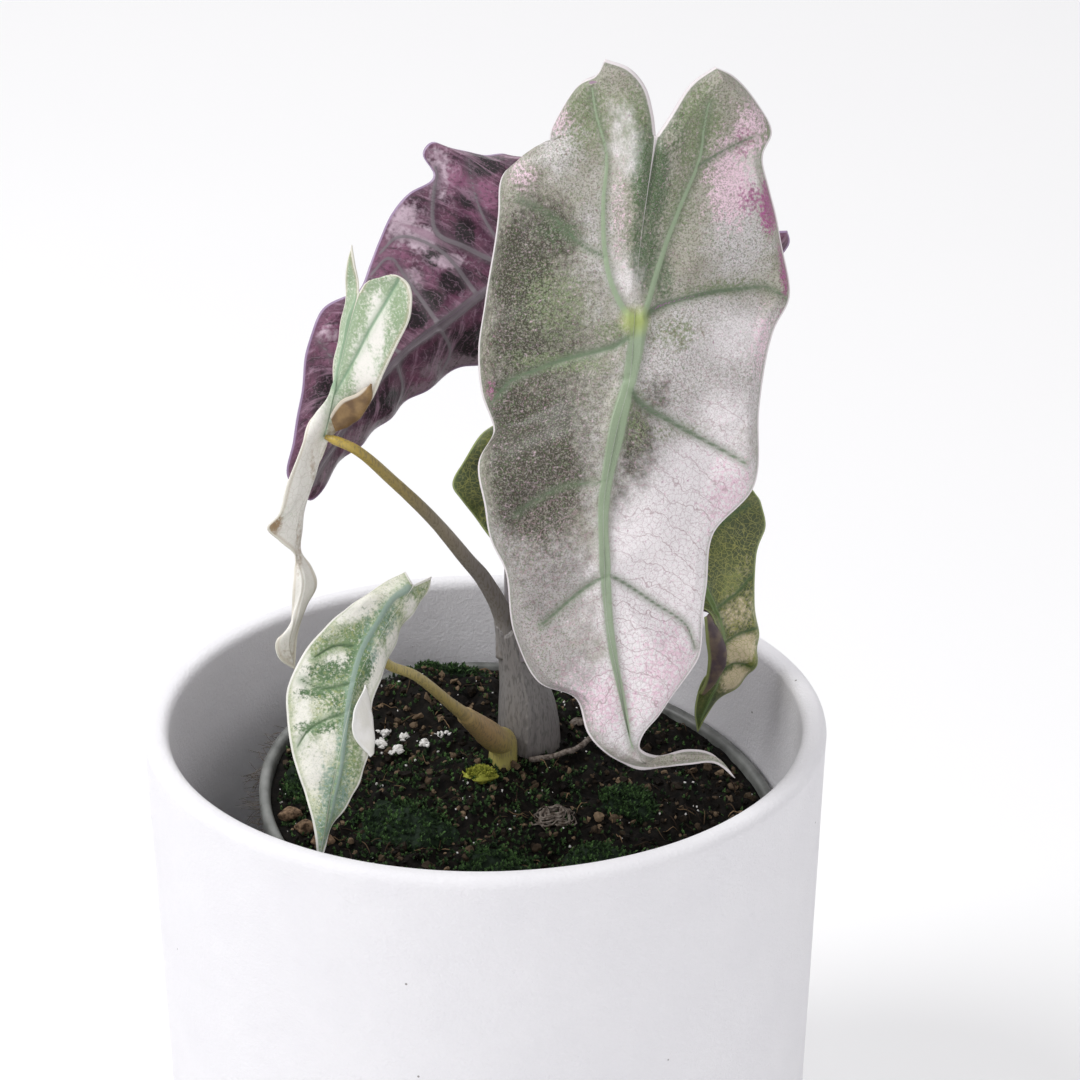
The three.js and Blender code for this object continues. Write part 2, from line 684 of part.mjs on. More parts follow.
function stalk(name, leafName, color) {
  const { foot, bearing, route, side, standOff, radii } = stalks[leafName];
  const leaf = leaves[leafName];
  const rise = new THREE.Vector3(0, 0, soilLevel);
  const points = route.map((point) => vector(point).add(rise));
  if (bearing) {
    const away = STEM_RADIUS + SEAT_GAP + radii[0];
    const place = new THREE.Vector2(...bearing).setLength(away).add(STEM_FOOT);
    const start = onSoil(place, SEAT_GAP + SOIL_SLOPE * radii[0]);
    points.unshift(start, start.clone().add(new THREE.Vector3(0, 0, 3)));
  } else {
    const topRadius = stemRadii[stemRadii.length - 1];
    const offset = new THREE.Vector3(foot[0], foot[1], 0).multiplyScalar(topRadius);
    const start = stemTop.clone().add(offset);
    const lift = (SEAT_GAP - start.clone().sub(stemTop).dot(stemDirection)) / stemDirection.z;
    start.z += lift;
    points.unshift(start, start.clone().addScaledVector(stemDirection, 4));
  }
  const away = vector(side).normalize();
  const reach = BLADE_THICKNESS / 2 + standOff;
  points.push(vector(leaf.midrib[leaf.junction]).add(rise).addScaledVector(away, reach));
  return namedMesh(name, stalkGeometry(points, radii, STALK_SIDES, 16), color, 0.5);
}

// ---------------------------------------------------------------- bits on the mix

// A lump that lies on the mix: a stretched ball whose underside follows the surface.
function lump(name, [x, y], [across, deep, high], detail, color) {
  const ball = mergedSurface(new THREE.IcosahedronGeometry(1, detail));
  const middle = onSoil(new THREE.Vector2(x, y), SEAT_GAP + 0.35 * high);
  const points = ball.points.map((point) => {
    const moved = new THREE.Vector3(point.x * across, point.y * deep, point.z * high).add(middle);
    moved.z = Math.max(moved.z, soilHeight(moved.x, moved.y) + SEAT_GAP + 0.05);
    return moved;
  });
  return namedMesh(name, closedGeometry(points, ball.triangles), color, 0.9);
}

const mossCushions = [
  { at: [-17, -8], size: [10, 7.5, 2.6] },
  { at: [3, -21], size: [9, 7, 2.2] },
  { at: [-37, 5], size: [5.5, 8, 2.4] },
  { at: [24, -16], size: [8, 7, 2.2] },
  { at: [-9, 46.5], size: [9, 4.5, 2.6] },
  { at: [30, 6], size: [6, 5, 1.8] },
];

const perliteGrains = [
  { at: [-22.7, 19.2], size: [1.8, 1.6, 1.5] },
  { at: [-18.8, 16.8], size: [1.9, 1.4, 1.4] },
  { at: [-21.8, 23.3], size: [1.6, 1.6, 1.4] },
  { at: [-13.4, 18.4], size: [1.5, 1.4, 1.3] },
  { at: [-10, 21.2], size: [1.7, 1.4, 1.3] },
  { at: [-17.2, 21.4], size: [1.7, 1.5, 1.4] },
];

const clayBits = [
  { at: [-40.5, -7.5], size: [2.4, 1.8, 1.7] },
  { at: [-37.5, -11.8], size: [2.2, 1.9, 1.6] },
  { at: [-33.5, -15.5], size: [2.4, 1.7, 1.5] },
  { at: [-20.7, 40], size: [2, 1.8, 2.2] },
];

function surfaceRoot(name, route, radius) {
  const points = route.map(([x, y, lift]) =>
    onSoil(new THREE.Vector2(x, y), SEAT_GAP + radius + lift),
  );
  return namedMesh(name, stalkGeometry(points, [radius, radius], 6, 10), COLOURS.dry, 0.85);
}

function soilBits() {
  const bits = new THREE.Group();
  mossCushions.forEach(({ at, size }, i) => {
    bits.add(lump(`moss_cushion_${i + 1}`, at, size, 2, COLOURS.moss));
  });
  perliteGrains.forEach(({ at, size }, i) => {
    bits.add(lump(`perlite_${i + 1}`, at, size, 0, COLOURS.perlite));
  });
  clayBits.forEach(({ at, size }, i) => {
    bits.add(lump(`clay_bit_${i + 1}`, at, size, 0, COLOURS.clay));
  });
  bits.add(lump('lime_moss', [-1.2, 7.2], [3, 1.9, 1.9], 1, COLOURS.limeMoss));
  bits.add(lump('root_tangle', [14, -3.5], [4.2, 3.4, 1.9], 1, COLOURS.dry));
  bits.add(lump('dry_scrap', [20.5, 31.5], [3.2, 1.3, 1.2], 1, COLOURS.dry));
  const route = [[27, 27, 0.2], [22.5, 24, 1.2], [18, 17.5, 0.6], [9.5, 13, 0.1]];
  bits.add(surfaceRoot('surface_root', route, 0.6));
  return bits;
}

// ---------------------------------------------------------------- assembly

const object = new THREE.Group();
object.add(cachepot(), nurseryPot(), pottingMix(), soilBits());

const plantPieces = new THREE.Group();
plantPieces.add(corm(), stemBase());
plantPieces.add(
  stalk('stalk_front', 'front', COLOURS.stalkGrey),
  stalk('stalk_twisted', 'twisted', COLOURS.stalkYellow),
  stalk('stalk_back', 'back', COLOURS.stalkGrey),
  stalk('stalk_low', 'low', COLOURS.stalkGrey),
  stalk('stalk_small', 'small', COLOURS.stalkYellow),
);
plantPieces.add(
  blade('blade_front', leaves.front, COLOURS.frontLeaf),
  blade('blade_twisted', leaves.twisted, COLOURS.paleLeaf),
  blade('blade_back', leaves.back, COLOURS.purpleLeaf),
  blade('blade_small', leaves.small, COLOURS.smallLeaf),
  blade('blade_low', leaves.low, COLOURS.greenLeaf),
);
object.add(plantPieces);

export default object;
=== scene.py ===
"""A young alocasia in its nursery pot, inside a white ceramic cachepot, dressed around its CAD solids.

The scene is in metres, +Z up, with -Y at the front. Sizes in this file are millimetres unless a name
says otherwise, and heights in the lists of the plant are above the nursery pot's rim."""

import math

import bmesh
import bpy
import numpy as np
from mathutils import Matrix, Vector


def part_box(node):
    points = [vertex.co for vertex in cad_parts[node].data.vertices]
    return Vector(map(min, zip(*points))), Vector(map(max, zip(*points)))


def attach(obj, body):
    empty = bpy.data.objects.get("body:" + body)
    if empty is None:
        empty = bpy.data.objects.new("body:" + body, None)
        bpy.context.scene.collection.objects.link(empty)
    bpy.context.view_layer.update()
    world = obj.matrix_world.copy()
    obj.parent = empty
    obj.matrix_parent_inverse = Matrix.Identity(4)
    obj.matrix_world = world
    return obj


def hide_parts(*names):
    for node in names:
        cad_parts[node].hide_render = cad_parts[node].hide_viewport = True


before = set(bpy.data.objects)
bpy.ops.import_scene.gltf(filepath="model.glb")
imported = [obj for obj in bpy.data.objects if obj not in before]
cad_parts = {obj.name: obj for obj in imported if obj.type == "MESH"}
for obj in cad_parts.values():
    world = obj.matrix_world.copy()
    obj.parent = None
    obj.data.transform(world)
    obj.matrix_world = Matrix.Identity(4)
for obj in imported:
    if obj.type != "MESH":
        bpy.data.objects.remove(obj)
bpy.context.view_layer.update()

# ---------------------------------------------------------------- sizes

MM = 0.001  # metres in a millimetre

# Ceramic cachepot
POT_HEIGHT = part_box("cachepot")[1].z / MM
RIM_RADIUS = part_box("cachepot")[1].x / MM
POT_TAPER = 0.025
POT_WALL = 5
POT_FLOOR = 6
POT_FLOOR_ROUND = 3
POT_FOOT_RECESS = 1.2
RIM_ROUND = 2.2
FOOT_ROUND = 2.5

# Squeezed nursery pot
NURSERY_RIM_DEPTH = 23
NURSERY_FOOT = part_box("nursery_pot")[0].z / MM
NURSERY_BASE_RADIUS = 40
NURSERY_WALL = 0.9
NURSERY_LIP = 1.5
NURSERY_LIP_HEIGHT = 5
NURSERY_SHIFT = np.array([7.6, 3.4])
NURSERY_LEAN = np.array([-0.103, 0.102])
NURSERY_CLEARANCE = 0.8
DRAIN_HOLES = 6
DRAIN_HOLE_RADIUS = 4
DRAIN_RING_RADIUS = 27

# Potting mix and plant
SOIL_BELOW_RIM = 2
SOIL_DOME = 5.3
SOIL_DOME_SPREAD = 20
SOIL_DOME_CENTRE = np.array([5, 20])
STEM_FOOT = np.array([9.2, 23.3])
STEM_RADIUS = 6.9
CORM_TOP = -5.3
SEAT_GAP = 0.3
LEAF_THICKNESS = 0.45

rim_level = POT_HEIGHT - NURSERY_RIM_DEPTH
nursery_height = rim_level - NURSERY_FOOT
nursery_rim_radius = (
    RIM_RADIUS - POT_WALL - POT_TAPER * NURSERY_RIM_DEPTH - NURSERY_CLEARANCE
    - np.hypot(*NURSERY_SHIFT)
)

random = np.random.default_rng(11)

# ---------------------------------------------------------------- general helpers


def linear(code):
    """A colour for a shader socket, from an sRGB hex value."""
    parts = [int(code[i : i + 2], 16) / 255 for i in (1, 3, 5)]
    return (*[p / 12.92 if p <= 0.04045 else ((p + 0.055) / 1.055) ** 2.4 for p in parts], 1)


def add(tree, kind, inputs=None, **settings):
    """Adds a node. Inputs are values, or sockets to link, by the input's name or number."""
    made = tree.nodes.new(kind)
    for name, value in settings.items():
        setattr(made, name, value)
    for name, value in (inputs or {}).items():
        if isinstance(value, bpy.types.NodeSocket):
            tree.links.new(value, made.inputs[name])
        else:
            made.inputs[name].default_value = value
    return made


def new_finish(name, **sockets):
    """A material, its node tree and shader, and the place on the object. Sockets are constant values."""
    material = bpy.data.materials.new(name)
    material.use_nodes = True
    tree = material.node_tree
    shader = tree.nodes["Principled BSDF"]
    for socket, value in sockets.items():
        shader.inputs[socket.replace("_", " ")].default_value = value
    place = add(tree, "ShaderNodeTexCoord").outputs["Object"]
    return material, tree, shader, place


def laid_over(tree, colour, value, low, high, code, strength=1, blend="LINEAR"):
    """The colour with another one over it, from nothing where the value is low to full where it is high."""
    mask = add(tree, "ShaderNodeMapRange", {
        "Value": value, "From Min": low, "From Max": high, "To Max": strength,
    }, interpolation_type=blend).outputs[0]
    return add(tree, "ShaderNodeMix", {0: mask, 6: colour, 7: linear(code)}, data_type="RGBA").outputs[2]


def dress(tree, shader, colour, height, strength, depth):
    """Links the colour, and bumps from a height, to the shader. The depth is in millimetres."""
    tree.links.new(colour, shader.inputs["Base Color"])
    bump = add(tree, "ShaderNodeBump", {"Height": height, "Strength": strength, "Distance": depth * MM})
    tree.links.new(bump.outputs["Normal"], shader.inputs["Normal"])


def circle(sides):
    """Even angles once round."""
    return 2 * np.pi * np.arange(sides) / sides


def lumpiness(points, size, seed):
    """Smooth random values from -1 to 1 that change over about size millimetres."""
    cell = np.asarray(points, float) / size
    corner = np.floor(cell).astype(np.int64)
    part = cell - corner
    part = part * part * (3 - 2 * part)
    total = np.zeros(len(cell))
    for step in np.ndindex(2, 2, 2):
        at = corner + step
        mixed = at[:, 0] * 73856093 ^ at[:, 1] * 19349663 ^ at[:, 2] * 83492791 ^ seed * 39916801
        mixed = (mixed ^ (mixed >> 13)) * 1274126177 & 0xFFFFFFFF
        value = ((mixed ^ (mixed >> 16)) & 0xFFFF) / 32767.5 - 1
        weight = np.prod(np.where(np.array(step), part, 1 - part), axis=1)
        total += weight * value
    return total


def curve_points(line, places):
    """Points on the smooth curve through the line's points, at places given in steps of the line."""
    line = np.asarray(line, float)
    last = len(line) - 1
    padded = np.vstack([2 * line[0] - line[1], line, 2 * line[-1] - line[-2]])
    before = np.minimum(np.asarray(places).astype(int), last - 1)
    t = (np.asarray(places) - before)[:, None]
    a, b, c, d = (padded[before + i] for i in range(4))
    ab, bc, cd = (
        np.maximum(np.sum((q - p) ** 2, axis=1) ** 0.25, 1e-4)[:, None]
        for p, q in ((a, b), (b, c), (c, d))
    )
    start = ((b - a) / ab - (c - a) / (ab + bc) + (c - b) / bc) * bc
    end = ((c - b) / bc - (d - b) / (bc + cd) + (d - c) / cd) * bc
    cubic = 2 * b - 2 * c + start + end
    square = -3 * b + 3 * c - 2 * start - end
    return cubic * t**3 + square * t**2 + start * t + b


def spaced(line, first, last, count):
    """Evenly spaced points on the smooth curve, between two of the line's points."""
    fine = curve_points(line, np.linspace(first, last, 60 * (last - first) + 1))
    run = np.r_[0, np.cumsum(np.linalg.norm(np.diff(fine, axis=0), axis=1))]
    wanted = np.linspace(0, run[-1], count)
    return np.stack([np.interp(wanted, run, fine[:, i]) for i in range(fine.shape[1])], 1)


def nearest(points, line):
    """Distance from each point to a run of short straight steps, and how far along it is, 0 to 1."""
    best = np.full(len(points), np.inf)
    along = np.zeros(len(points))
    steps = len(line) - 1
    for i in range(steps):
        step = line[i + 1] - line[i]
        share = np.clip((points - line[i]) @ step / max(step @ step, 1e-9), 0, 1)
        away = np.linalg.norm(points - line[i] - share[:, None] * step, axis=1)
        closer = away < best
        best = np.where(closer, away, best)
        along = np.where(closer, (i + share) / steps, along)
    return best, along


def corner_triangles(faces):
    """Three corner lists that cut each face into triangles."""
    faces = np.asarray(faces)
    if faces.shape[1] == 3:
        return faces
    return np.vstack([faces[:, [0, 1, 2]], faces[:, [0, 2, 3]]])


def point_normals(points, faces):
    """Each point's direction of length 1 away from the faces that meet there."""
    corners = corner_triangles(faces)
    a, b, c = (points[corners[:, i]] for i in range(3))
    normal = np.cross(b - a, c - a)
    total = np.zeros_like(points)
    for i in range(3):
        np.add.at(total, corners[:, i], normal)
    return total / np.maximum(np.linalg.norm(total, axis=1), 1e-12)[:, None]


def outward(points, faces):
    """The faces, turned round if the closed surface would face inwards."""
    corners = corner_triangles(faces)
    a, b, c = (points[corners[:, i]] for i in range(3))
    inside_out = np.einsum("ij,ij->i", a, np.cross(b, c)).sum() < 0
    return faces[:, ::-1] if inside_out else faces


def make_piece(name, points, faces, finishes, nodes=(), measures=None, finish_of_face=None,
               smooth=True):
    """A closed mesh in the row frame that rides on the body and stands for the named CAD nodes."""
    mesh = bpy.data.meshes.new(name)
    face_lists = faces if isinstance(faces, list) else [faces]
    corners = [face for part in face_lists for face in part.tolist()]
    corners = [list(dict.fromkeys(face)) for face in corners]
    mesh.from_pydata((np.asarray(points) * MM).tolist(), [], corners)
    for finish in finishes:
        mesh.materials.append(finish)
    if finish_of_face is not None:
        mesh.polygons.foreach_set("material_index", np.asarray(finish_of_face, np.int32))
    mesh.polygons.foreach_set("use_smooth", np.full(len(mesh.polygons), smooth))
    for key, values in (measures or {}).items():
        layer = mesh.attributes.new(key, "FLOAT", "POINT")
        layer.data.foreach_set("value", np.asarray(values, np.float32))
    piece = bpy.data.objects.new(name, mesh)
    bpy.context.scene.collection.objects.link(piece)
    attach(piece, "root")
    if nodes:
        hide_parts(*nodes)
    return piece


def ring_faces(rings, sides, closed_rows=False):
    """Quads between rings of equally many points."""
    row, column = np.meshgrid(
        np.arange(rings if closed_rows else rings - 1), np.arange(sides), indexing="ij"
    )
    following = (row + 1) % rings
    next_column = (column + 1) % sides
    quads = [row * sides + column, row * sides + next_column,
             following * sides + next_column, following * sides + column]
    return np.stack(quads, -1).reshape(-1, 4)


def capped_loft(rings):
    """Points and faces of a solid through rings of points, closed by a fan at each end."""
    count, sides, _ = rings.shape
    points = np.vstack([rings.reshape(-1, 3), rings[0].mean(0), rings[-1].mean(0)])
    column = np.arange(sides)
    following = (column + 1) % sides
    start, end = count * sides, count * sides + 1
    last = (count - 1) * sides
    caps = np.vstack([
        np.stack([np.full(sides, start), following, column], 1),
        np.stack([np.full(sides, end), last + column, last + following], 1),
    ])
    sides_faces = ring_faces(count, sides)
    every = np.vstack([corner_triangles(sides_faces), caps])
    if np.any(outward(points, every)[0] != every[0]):
        return points, [sides_faces[:, ::-1], caps[:, ::-1]]
    return points, [sides_faces, caps]


def carried_rings(route, radii, sides, swell=None):
    """Rings of points round a route. The section is carried along it without twisting."""
    route = np.asarray(route, float)
    tangent = np.gradient(route, axis=0)
    tangent /= np.linalg.norm(tangent, axis=1)[:, None]
    side = np.cross(tangent[0], [0.3, 1, 0.2])
    side /= np.linalg.norm(side)
    angles = circle(sides)
    rings = []
    for i, (middle, forward) in enumerate(zip(route, tangent)):
        side = side - forward * (side @ forward)
        side /= np.linalg.norm(side)
        other = np.cross(forward, side)
        radius = radii[i] * (np.ones(sides) if swell is None else swell[i])
        ring = middle + radius[:, None] * (
            np.cos(angles)[:, None] * side + np.sin(angles)[:, None] * other
        )
        rings.append(ring)
    return np.array(rings)


def ball(detail):
    """Points and triangles of a round ball of radius 1 with even faces."""
    shape = bmesh.new()
    bmesh.ops.create_icosphere(shape, subdivisions=detail, radius=1)
    points = np.array([vertex.co for vertex in shape.verts])
    faces = np.array([[vertex.index for vertex in face.verts] for face in shape.faces])
    shape.free()
    return points, faces


def join_solids(solids):
    """One set of points and triangles from many closed ones."""
    points, faces, count = [], [], 0
    for own_points, own_faces in solids:
        points.append(own_points)
        faces.append(own_faces + count)
        count += len(own_points)
    return np.vstack(points), np.vstack(faces)


# ---------------------------------------------------------------- finishes: pots


def matt_ceramic():
    """Slip-cast ceramic with a matt white slip: a fine sandy grain, a few dark specks, no gloss."""
    material, tree, shader, place = new_finish("matt white ceramic", Roughness=0.62)
    cloud = add(tree, "ShaderNodeTexNoise", {"Vector": place, "Scale": 1 / (14 * MM), "Detail": 3})
    colour = add(tree, "ShaderNodeMix", {
        0: cloud.outputs["Fac"], 6: linear("#f4f3f6"), 7: linear("#ecebef"),
    }, data_type="RGBA").outputs[2]
    specks = add(tree, "ShaderNodeTexVoronoi", {"Vector": place, "Scale": 1 / (9 * MM)})
    colour = laid_over(tree, colour, specks.outputs["Distance"], 0.035, 0.02, "#8f8b8a")
    sand = add(tree, "ShaderNodeTexNoise", {
        "Vector": place, "Scale": 1 / (0.7 * MM), "Detail": 4, "Roughness": 0.65,
    })
    wave = add(tree, "ShaderNodeTexNoise", {"Vector": place, "Scale": 1 / (5 * MM), "Detail": 2})
    height = add(tree, "ShaderNodeMath", {0: wave.outputs["Fac"], 1: 0.8, 2: sand.outputs["Fac"]},
                 operation="MULTIPLY_ADD").outputs[0]
    dress(tree, shader, colour, height, 0.8, 0.25)
    return material


def thin_polypropylene():
    """Thermoformed polypropylene, thin, grey, cloudy, a little see-through and with faint drawing lines; here
    an opaque cloudy grey with a faint bump.
    """
    material, tree, shader, place = new_finish("thin grey polypropylene", Roughness=0.38, IOR=1.49)
    cloud = add(tree, "ShaderNodeTexNoise", {
        "Vector": place, "Scale": 1 / (6 * MM), "Detail": 4,
    }).outputs["Fac"]
    colour = laid_over(tree, linear("#555754"), cloud, 0.35, 0.65, "#7f817e")
    dress(tree, shader, colour, cloud, 0.3, 0.2)
    return material


# ---------------------------------------------------------------- finishes: things on the mix


def mottled(name, colours, grain, depth, roughness, measure=None, shine=0.12):
    """A rough natural surface: two colours in clouds of one grain size, and bumps of the same size."""
    material, tree, shader, place = new_finish(name, Roughness=roughness, Specular_IOR_Level=shine)
    cloud = add(tree, "ShaderNodeTexNoise", {
        "Vector": place, "Scale": 1 / (grain * MM), "Detail": 4, "Roughness": 0.6,
    }).outputs["Fac"]
    colour = laid_over(tree, linear(colours[0]), cloud, 0.38, 0.62, colours[1])
    if measure:
        own = add(tree, "ShaderNodeAttribute", attribute_name=measure).outputs["Fac"]
        colour = add(tree, "ShaderNodeMix", {0: own, 6: colour, 7: linear(colours[2])},
                     data_type="RGBA").outputs[2]
    dress(tree, shader, colour, cloud, 0.8, depth)
    return material


# ---------------------------------------------------------------- finishes: plant


def leaf_streaks(tree, colour, measure, streaks):
    """The colour with streaks over it that curve out from the midrib between the side veins. Light streaks
    are painted sheen.
    """
    run = add(tree, "ShaderNodeMath", {0: measure["edge"], 1: 0.14}, operation="MULTIPLY").outputs[0]
    flow = add(tree, "ShaderNodeCombineXYZ", {"X": measure["rung"], "Y": run}).outputs[0]
    strands = add(tree, "ShaderNodeTexNoise", {
        "Vector": flow, "Scale": 0.42, "Detail": 3, "Roughness": 0.62, "Distortion": 0.5,
    }).outputs["Fac"]
    for low, high, code, strength in streaks:
        colour = laid_over(tree, colour, strands, low, high, code, strength, "SMOOTHSTEP")
    return colour


def leaf_net(tree, place, cloud, measure, look):
    """Where the net of the finest veins shows, and the curved rungs that join the side veins."""
    stir = add(tree, "ShaderNodeTexNoise", {"Vector": place, "Scale": 1 / (2 * MM)}).outputs["Color"]
    wobble = add(tree, "ShaderNodeVectorMath", {0: stir, 1: (1.2 * MM,) * 3, 2: place},
                 operation="MULTIPLY_ADD").outputs[0]
    cells = add(tree, "ShaderNodeTexVoronoi", {
        "Vector": wobble, "Scale": 1 / (look["net_size"] * MM),
    }, feature="DISTANCE_TO_EDGE").outputs["Distance"]
    lines = add(tree, "ShaderNodeMapRange", {
        "Value": cells, "From Min": 0.06, "From Max": 0.01, "To Max": look.get("cells", 1),
    }).outputs[0]
    drift = add(tree, "ShaderNodeMath", {0: cloud, 1: 9, 2: measure["rung"]},
                operation="MULTIPLY_ADD").outputs[0]
    to_rung = add(tree, "ShaderNodeMath", {0: drift, 1: look["rung_step"] / 2},
                  operation="PINGPONG").outputs[0]
    rungs = add(tree, "ShaderNodeMapRange", {
        "Value": to_rung, "From Min": 0.16, "From Max": 0.04,
    }).outputs[0]
    both = add(tree, "ShaderNodeMath", {0: lines, 1: rungs}, operation="MAXIMUM").outputs[0]
    return add(tree, "ShaderNodeMath", {0: both, 1: measure["net"]}, operation="MULTIPLY").outputs[0]


def leaf_skin(name, look):
    """A living leaf's skin: waxy and smooth, its pigment laid in cloudy areas and in single stippled cells,
    with painted shade beside a midrib and painted sheen in some of its tones.

    The measures on the mesh say how near the veins and the margin are, and where each tone lies."""
    material, tree, shader, place = new_finish(
        name, Roughness=look["roughness"], Sheen_Weight=0.08, Sheen_Roughness=0.5,
    )
    keys = ["vein", "furrow", "halo", "edge", "rung", "net", "glow", *look["tones"]]
    measure = {
        key: add(tree, "ShaderNodeAttribute", attribute_name=key).outputs["Fac"] for key in keys
    }
    tones = look["tones"].values()
    grains = {6, 0.33, *[tone[1] for tone in tones], *[fleck[1] for fleck in look["flecks"]]}
    noise = {}
    for grain in sorted(grains):
        noise[grain] = add(tree, "ShaderNodeTexNoise", {
            "Vector": place, "Scale": 1 / (grain * MM), "Detail": 3 if grain > 1 else 1.5,
            "Roughness": 0.6,
        }).outputs["Fac"]

    # Broad colour, then each tone with an edge broken up by noise
    colour = laid_over(tree, linear(look["base"][0]), noise[6], 0.38, 0.62, look["base"][1])
    for tone, (code, grain, spread) in look["tones"].items():
        mixed = add(tree, "ShaderNodeMath", {0: noise[grain], 1: spread, 2: measure[tone]},
                    operation="MULTIPLY_ADD").outputs[0]
        middle = 0.5 * spread
        colour = laid_over(tree, colour, mixed, middle + 0.15, middle + 0.75, code, 1, "SMOOTHSTEP")

    if "streaks" in look:
        colour = leaf_streaks(tree, colour, measure, look["streaks"])

    # Stippled cells: fewer where the leaf has lost its green
    for code, grain, from_value, strength, key in look["flecks"]:
        held = add(tree, "ShaderNodeMapRange", {
            "Value": noise[grain], "From Min": from_value, "From Max": from_value + 0.09,
            "To Max": strength,
        }).outputs[0]
        if key is not None:
            fade = add(tree, "ShaderNodeMapRange", {
                "Value": measure[key], "From Min": 0, "From Max": 0.7, "To Min": 1, "To Max": 0.12,
            }).outputs[0]
            held = add(tree, "ShaderNodeMath", {0: held, 1: fade}, operation="MULTIPLY").outputs[0]
        colour = add(tree, "ShaderNodeMix", {0: held, 6: colour, 7: linear(code)},
                     data_type="RGBA").outputs[2]

    shown = leaf_net(tree, place, noise[6], measure, look)
    colour = add(tree, "ShaderNodeMix", {0: shown, 6: colour, 7: linear(look["net_colour"])},
                 data_type="RGBA").outputs[2]

    # Side veins and midrib: a soft darker band on both sides of a pale core
    for key, low, high, strength in (("halo", 1, 0, 0.5), ("furrow", 1.3, 0.2, 0.8), ("vein", 1, 0.55, 0.85)):
        colour = laid_over(tree, colour, measure[key], low, high, look[key], strength, "SMOOTHSTEP")

    # The yellow-green point where the stalk joins
    colour = add(tree, "ShaderNodeMix", {
        0: measure["glow"], 6: colour, 7: linear(look["junction"]),
    }, data_type="RGBA").outputs[2]

    # Margin: a pale hard line with a darker one just inside it
    for key, low, high, strength in (("margin_inner", 1.2, 0.6, 0.4), ("margin", 0.5, 0.3, 0.85)):
        colour = laid_over(tree, colour, measure["edge"], low, high, look[key], strength, "SMOOTHSTEP")

    height = add(tree, "ShaderNodeMath", {0: shown, 1: -0.6, 2: noise[0.33]},
                 operation="MULTIPLY_ADD").outputs[0]
    dress(tree, shader, colour, height, 0.35, 0.12)
    return material


def under_skin(name, codes):
    """A leaf's underside: duller, clouded in two colours, with its veins paler."""
    material, tree, shader, place = new_finish(name, Roughness=0.55)
    cloud = add(tree, "ShaderNodeTexNoise", {"Vector": place, "Scale": 1 / (3 * MM), "Detail": 5})
    colour = laid_over(tree, linear(codes[0]), cloud.outputs["Fac"], 0.38, 0.62, codes[1])
    for key, low, high in (("vein", 1.3, 0.6), ("edge", 0.9, 0.4)):
        near = add(tree, "ShaderNodeAttribute", attribute_name=key).outputs["Fac"]
        colour = laid_over(tree, colour, near, low, high, codes[2], 0.85, "SMOOTHSTEP")
    cells = add(tree, "ShaderNodeTexNoise", {"Vector": place, "Scale": 1 / (0.5 * MM), "Detail": 2})
    dress(tree, shader, colour, cells.outputs["Fac"], 0.4, 0.1)
    return material


def stalk_skin(name, codes, fleck, fleck_strength):
    """A smooth fleshy stalk: its colour changes from foot to leaf, with fine lengthwise flecks."""
    material, tree, shader, place = new_finish(name, Roughness=0.42)
    along = add(tree, "ShaderNodeAttribute", attribute_name="along").outputs["Fac"]
    colour = linear(codes[0])
    stretches = len(codes) - 1
    for i, code in enumerate(codes[1:]):
        colour = laid_over(tree, colour, along, i / stretches, (i + 1) / stretches, code, 1, "SMOOTHSTEP")
    streaks = add(tree, "ShaderNodeMapping", {"Vector": place, "Scale": (1, 1, 0.22)}).outputs[0]
    speck = add(tree, "ShaderNodeTexNoise", {
        "Vector": streaks, "Scale": 1 / (0.4 * MM), "Detail": 2,
    }).outputs["Fac"]
    colour = laid_over(tree, colour, speck, 0.5, 0.62, fleck, fleck_strength)
    dress(tree, shader, colour, speck, 0.4, 0.12)
    return material
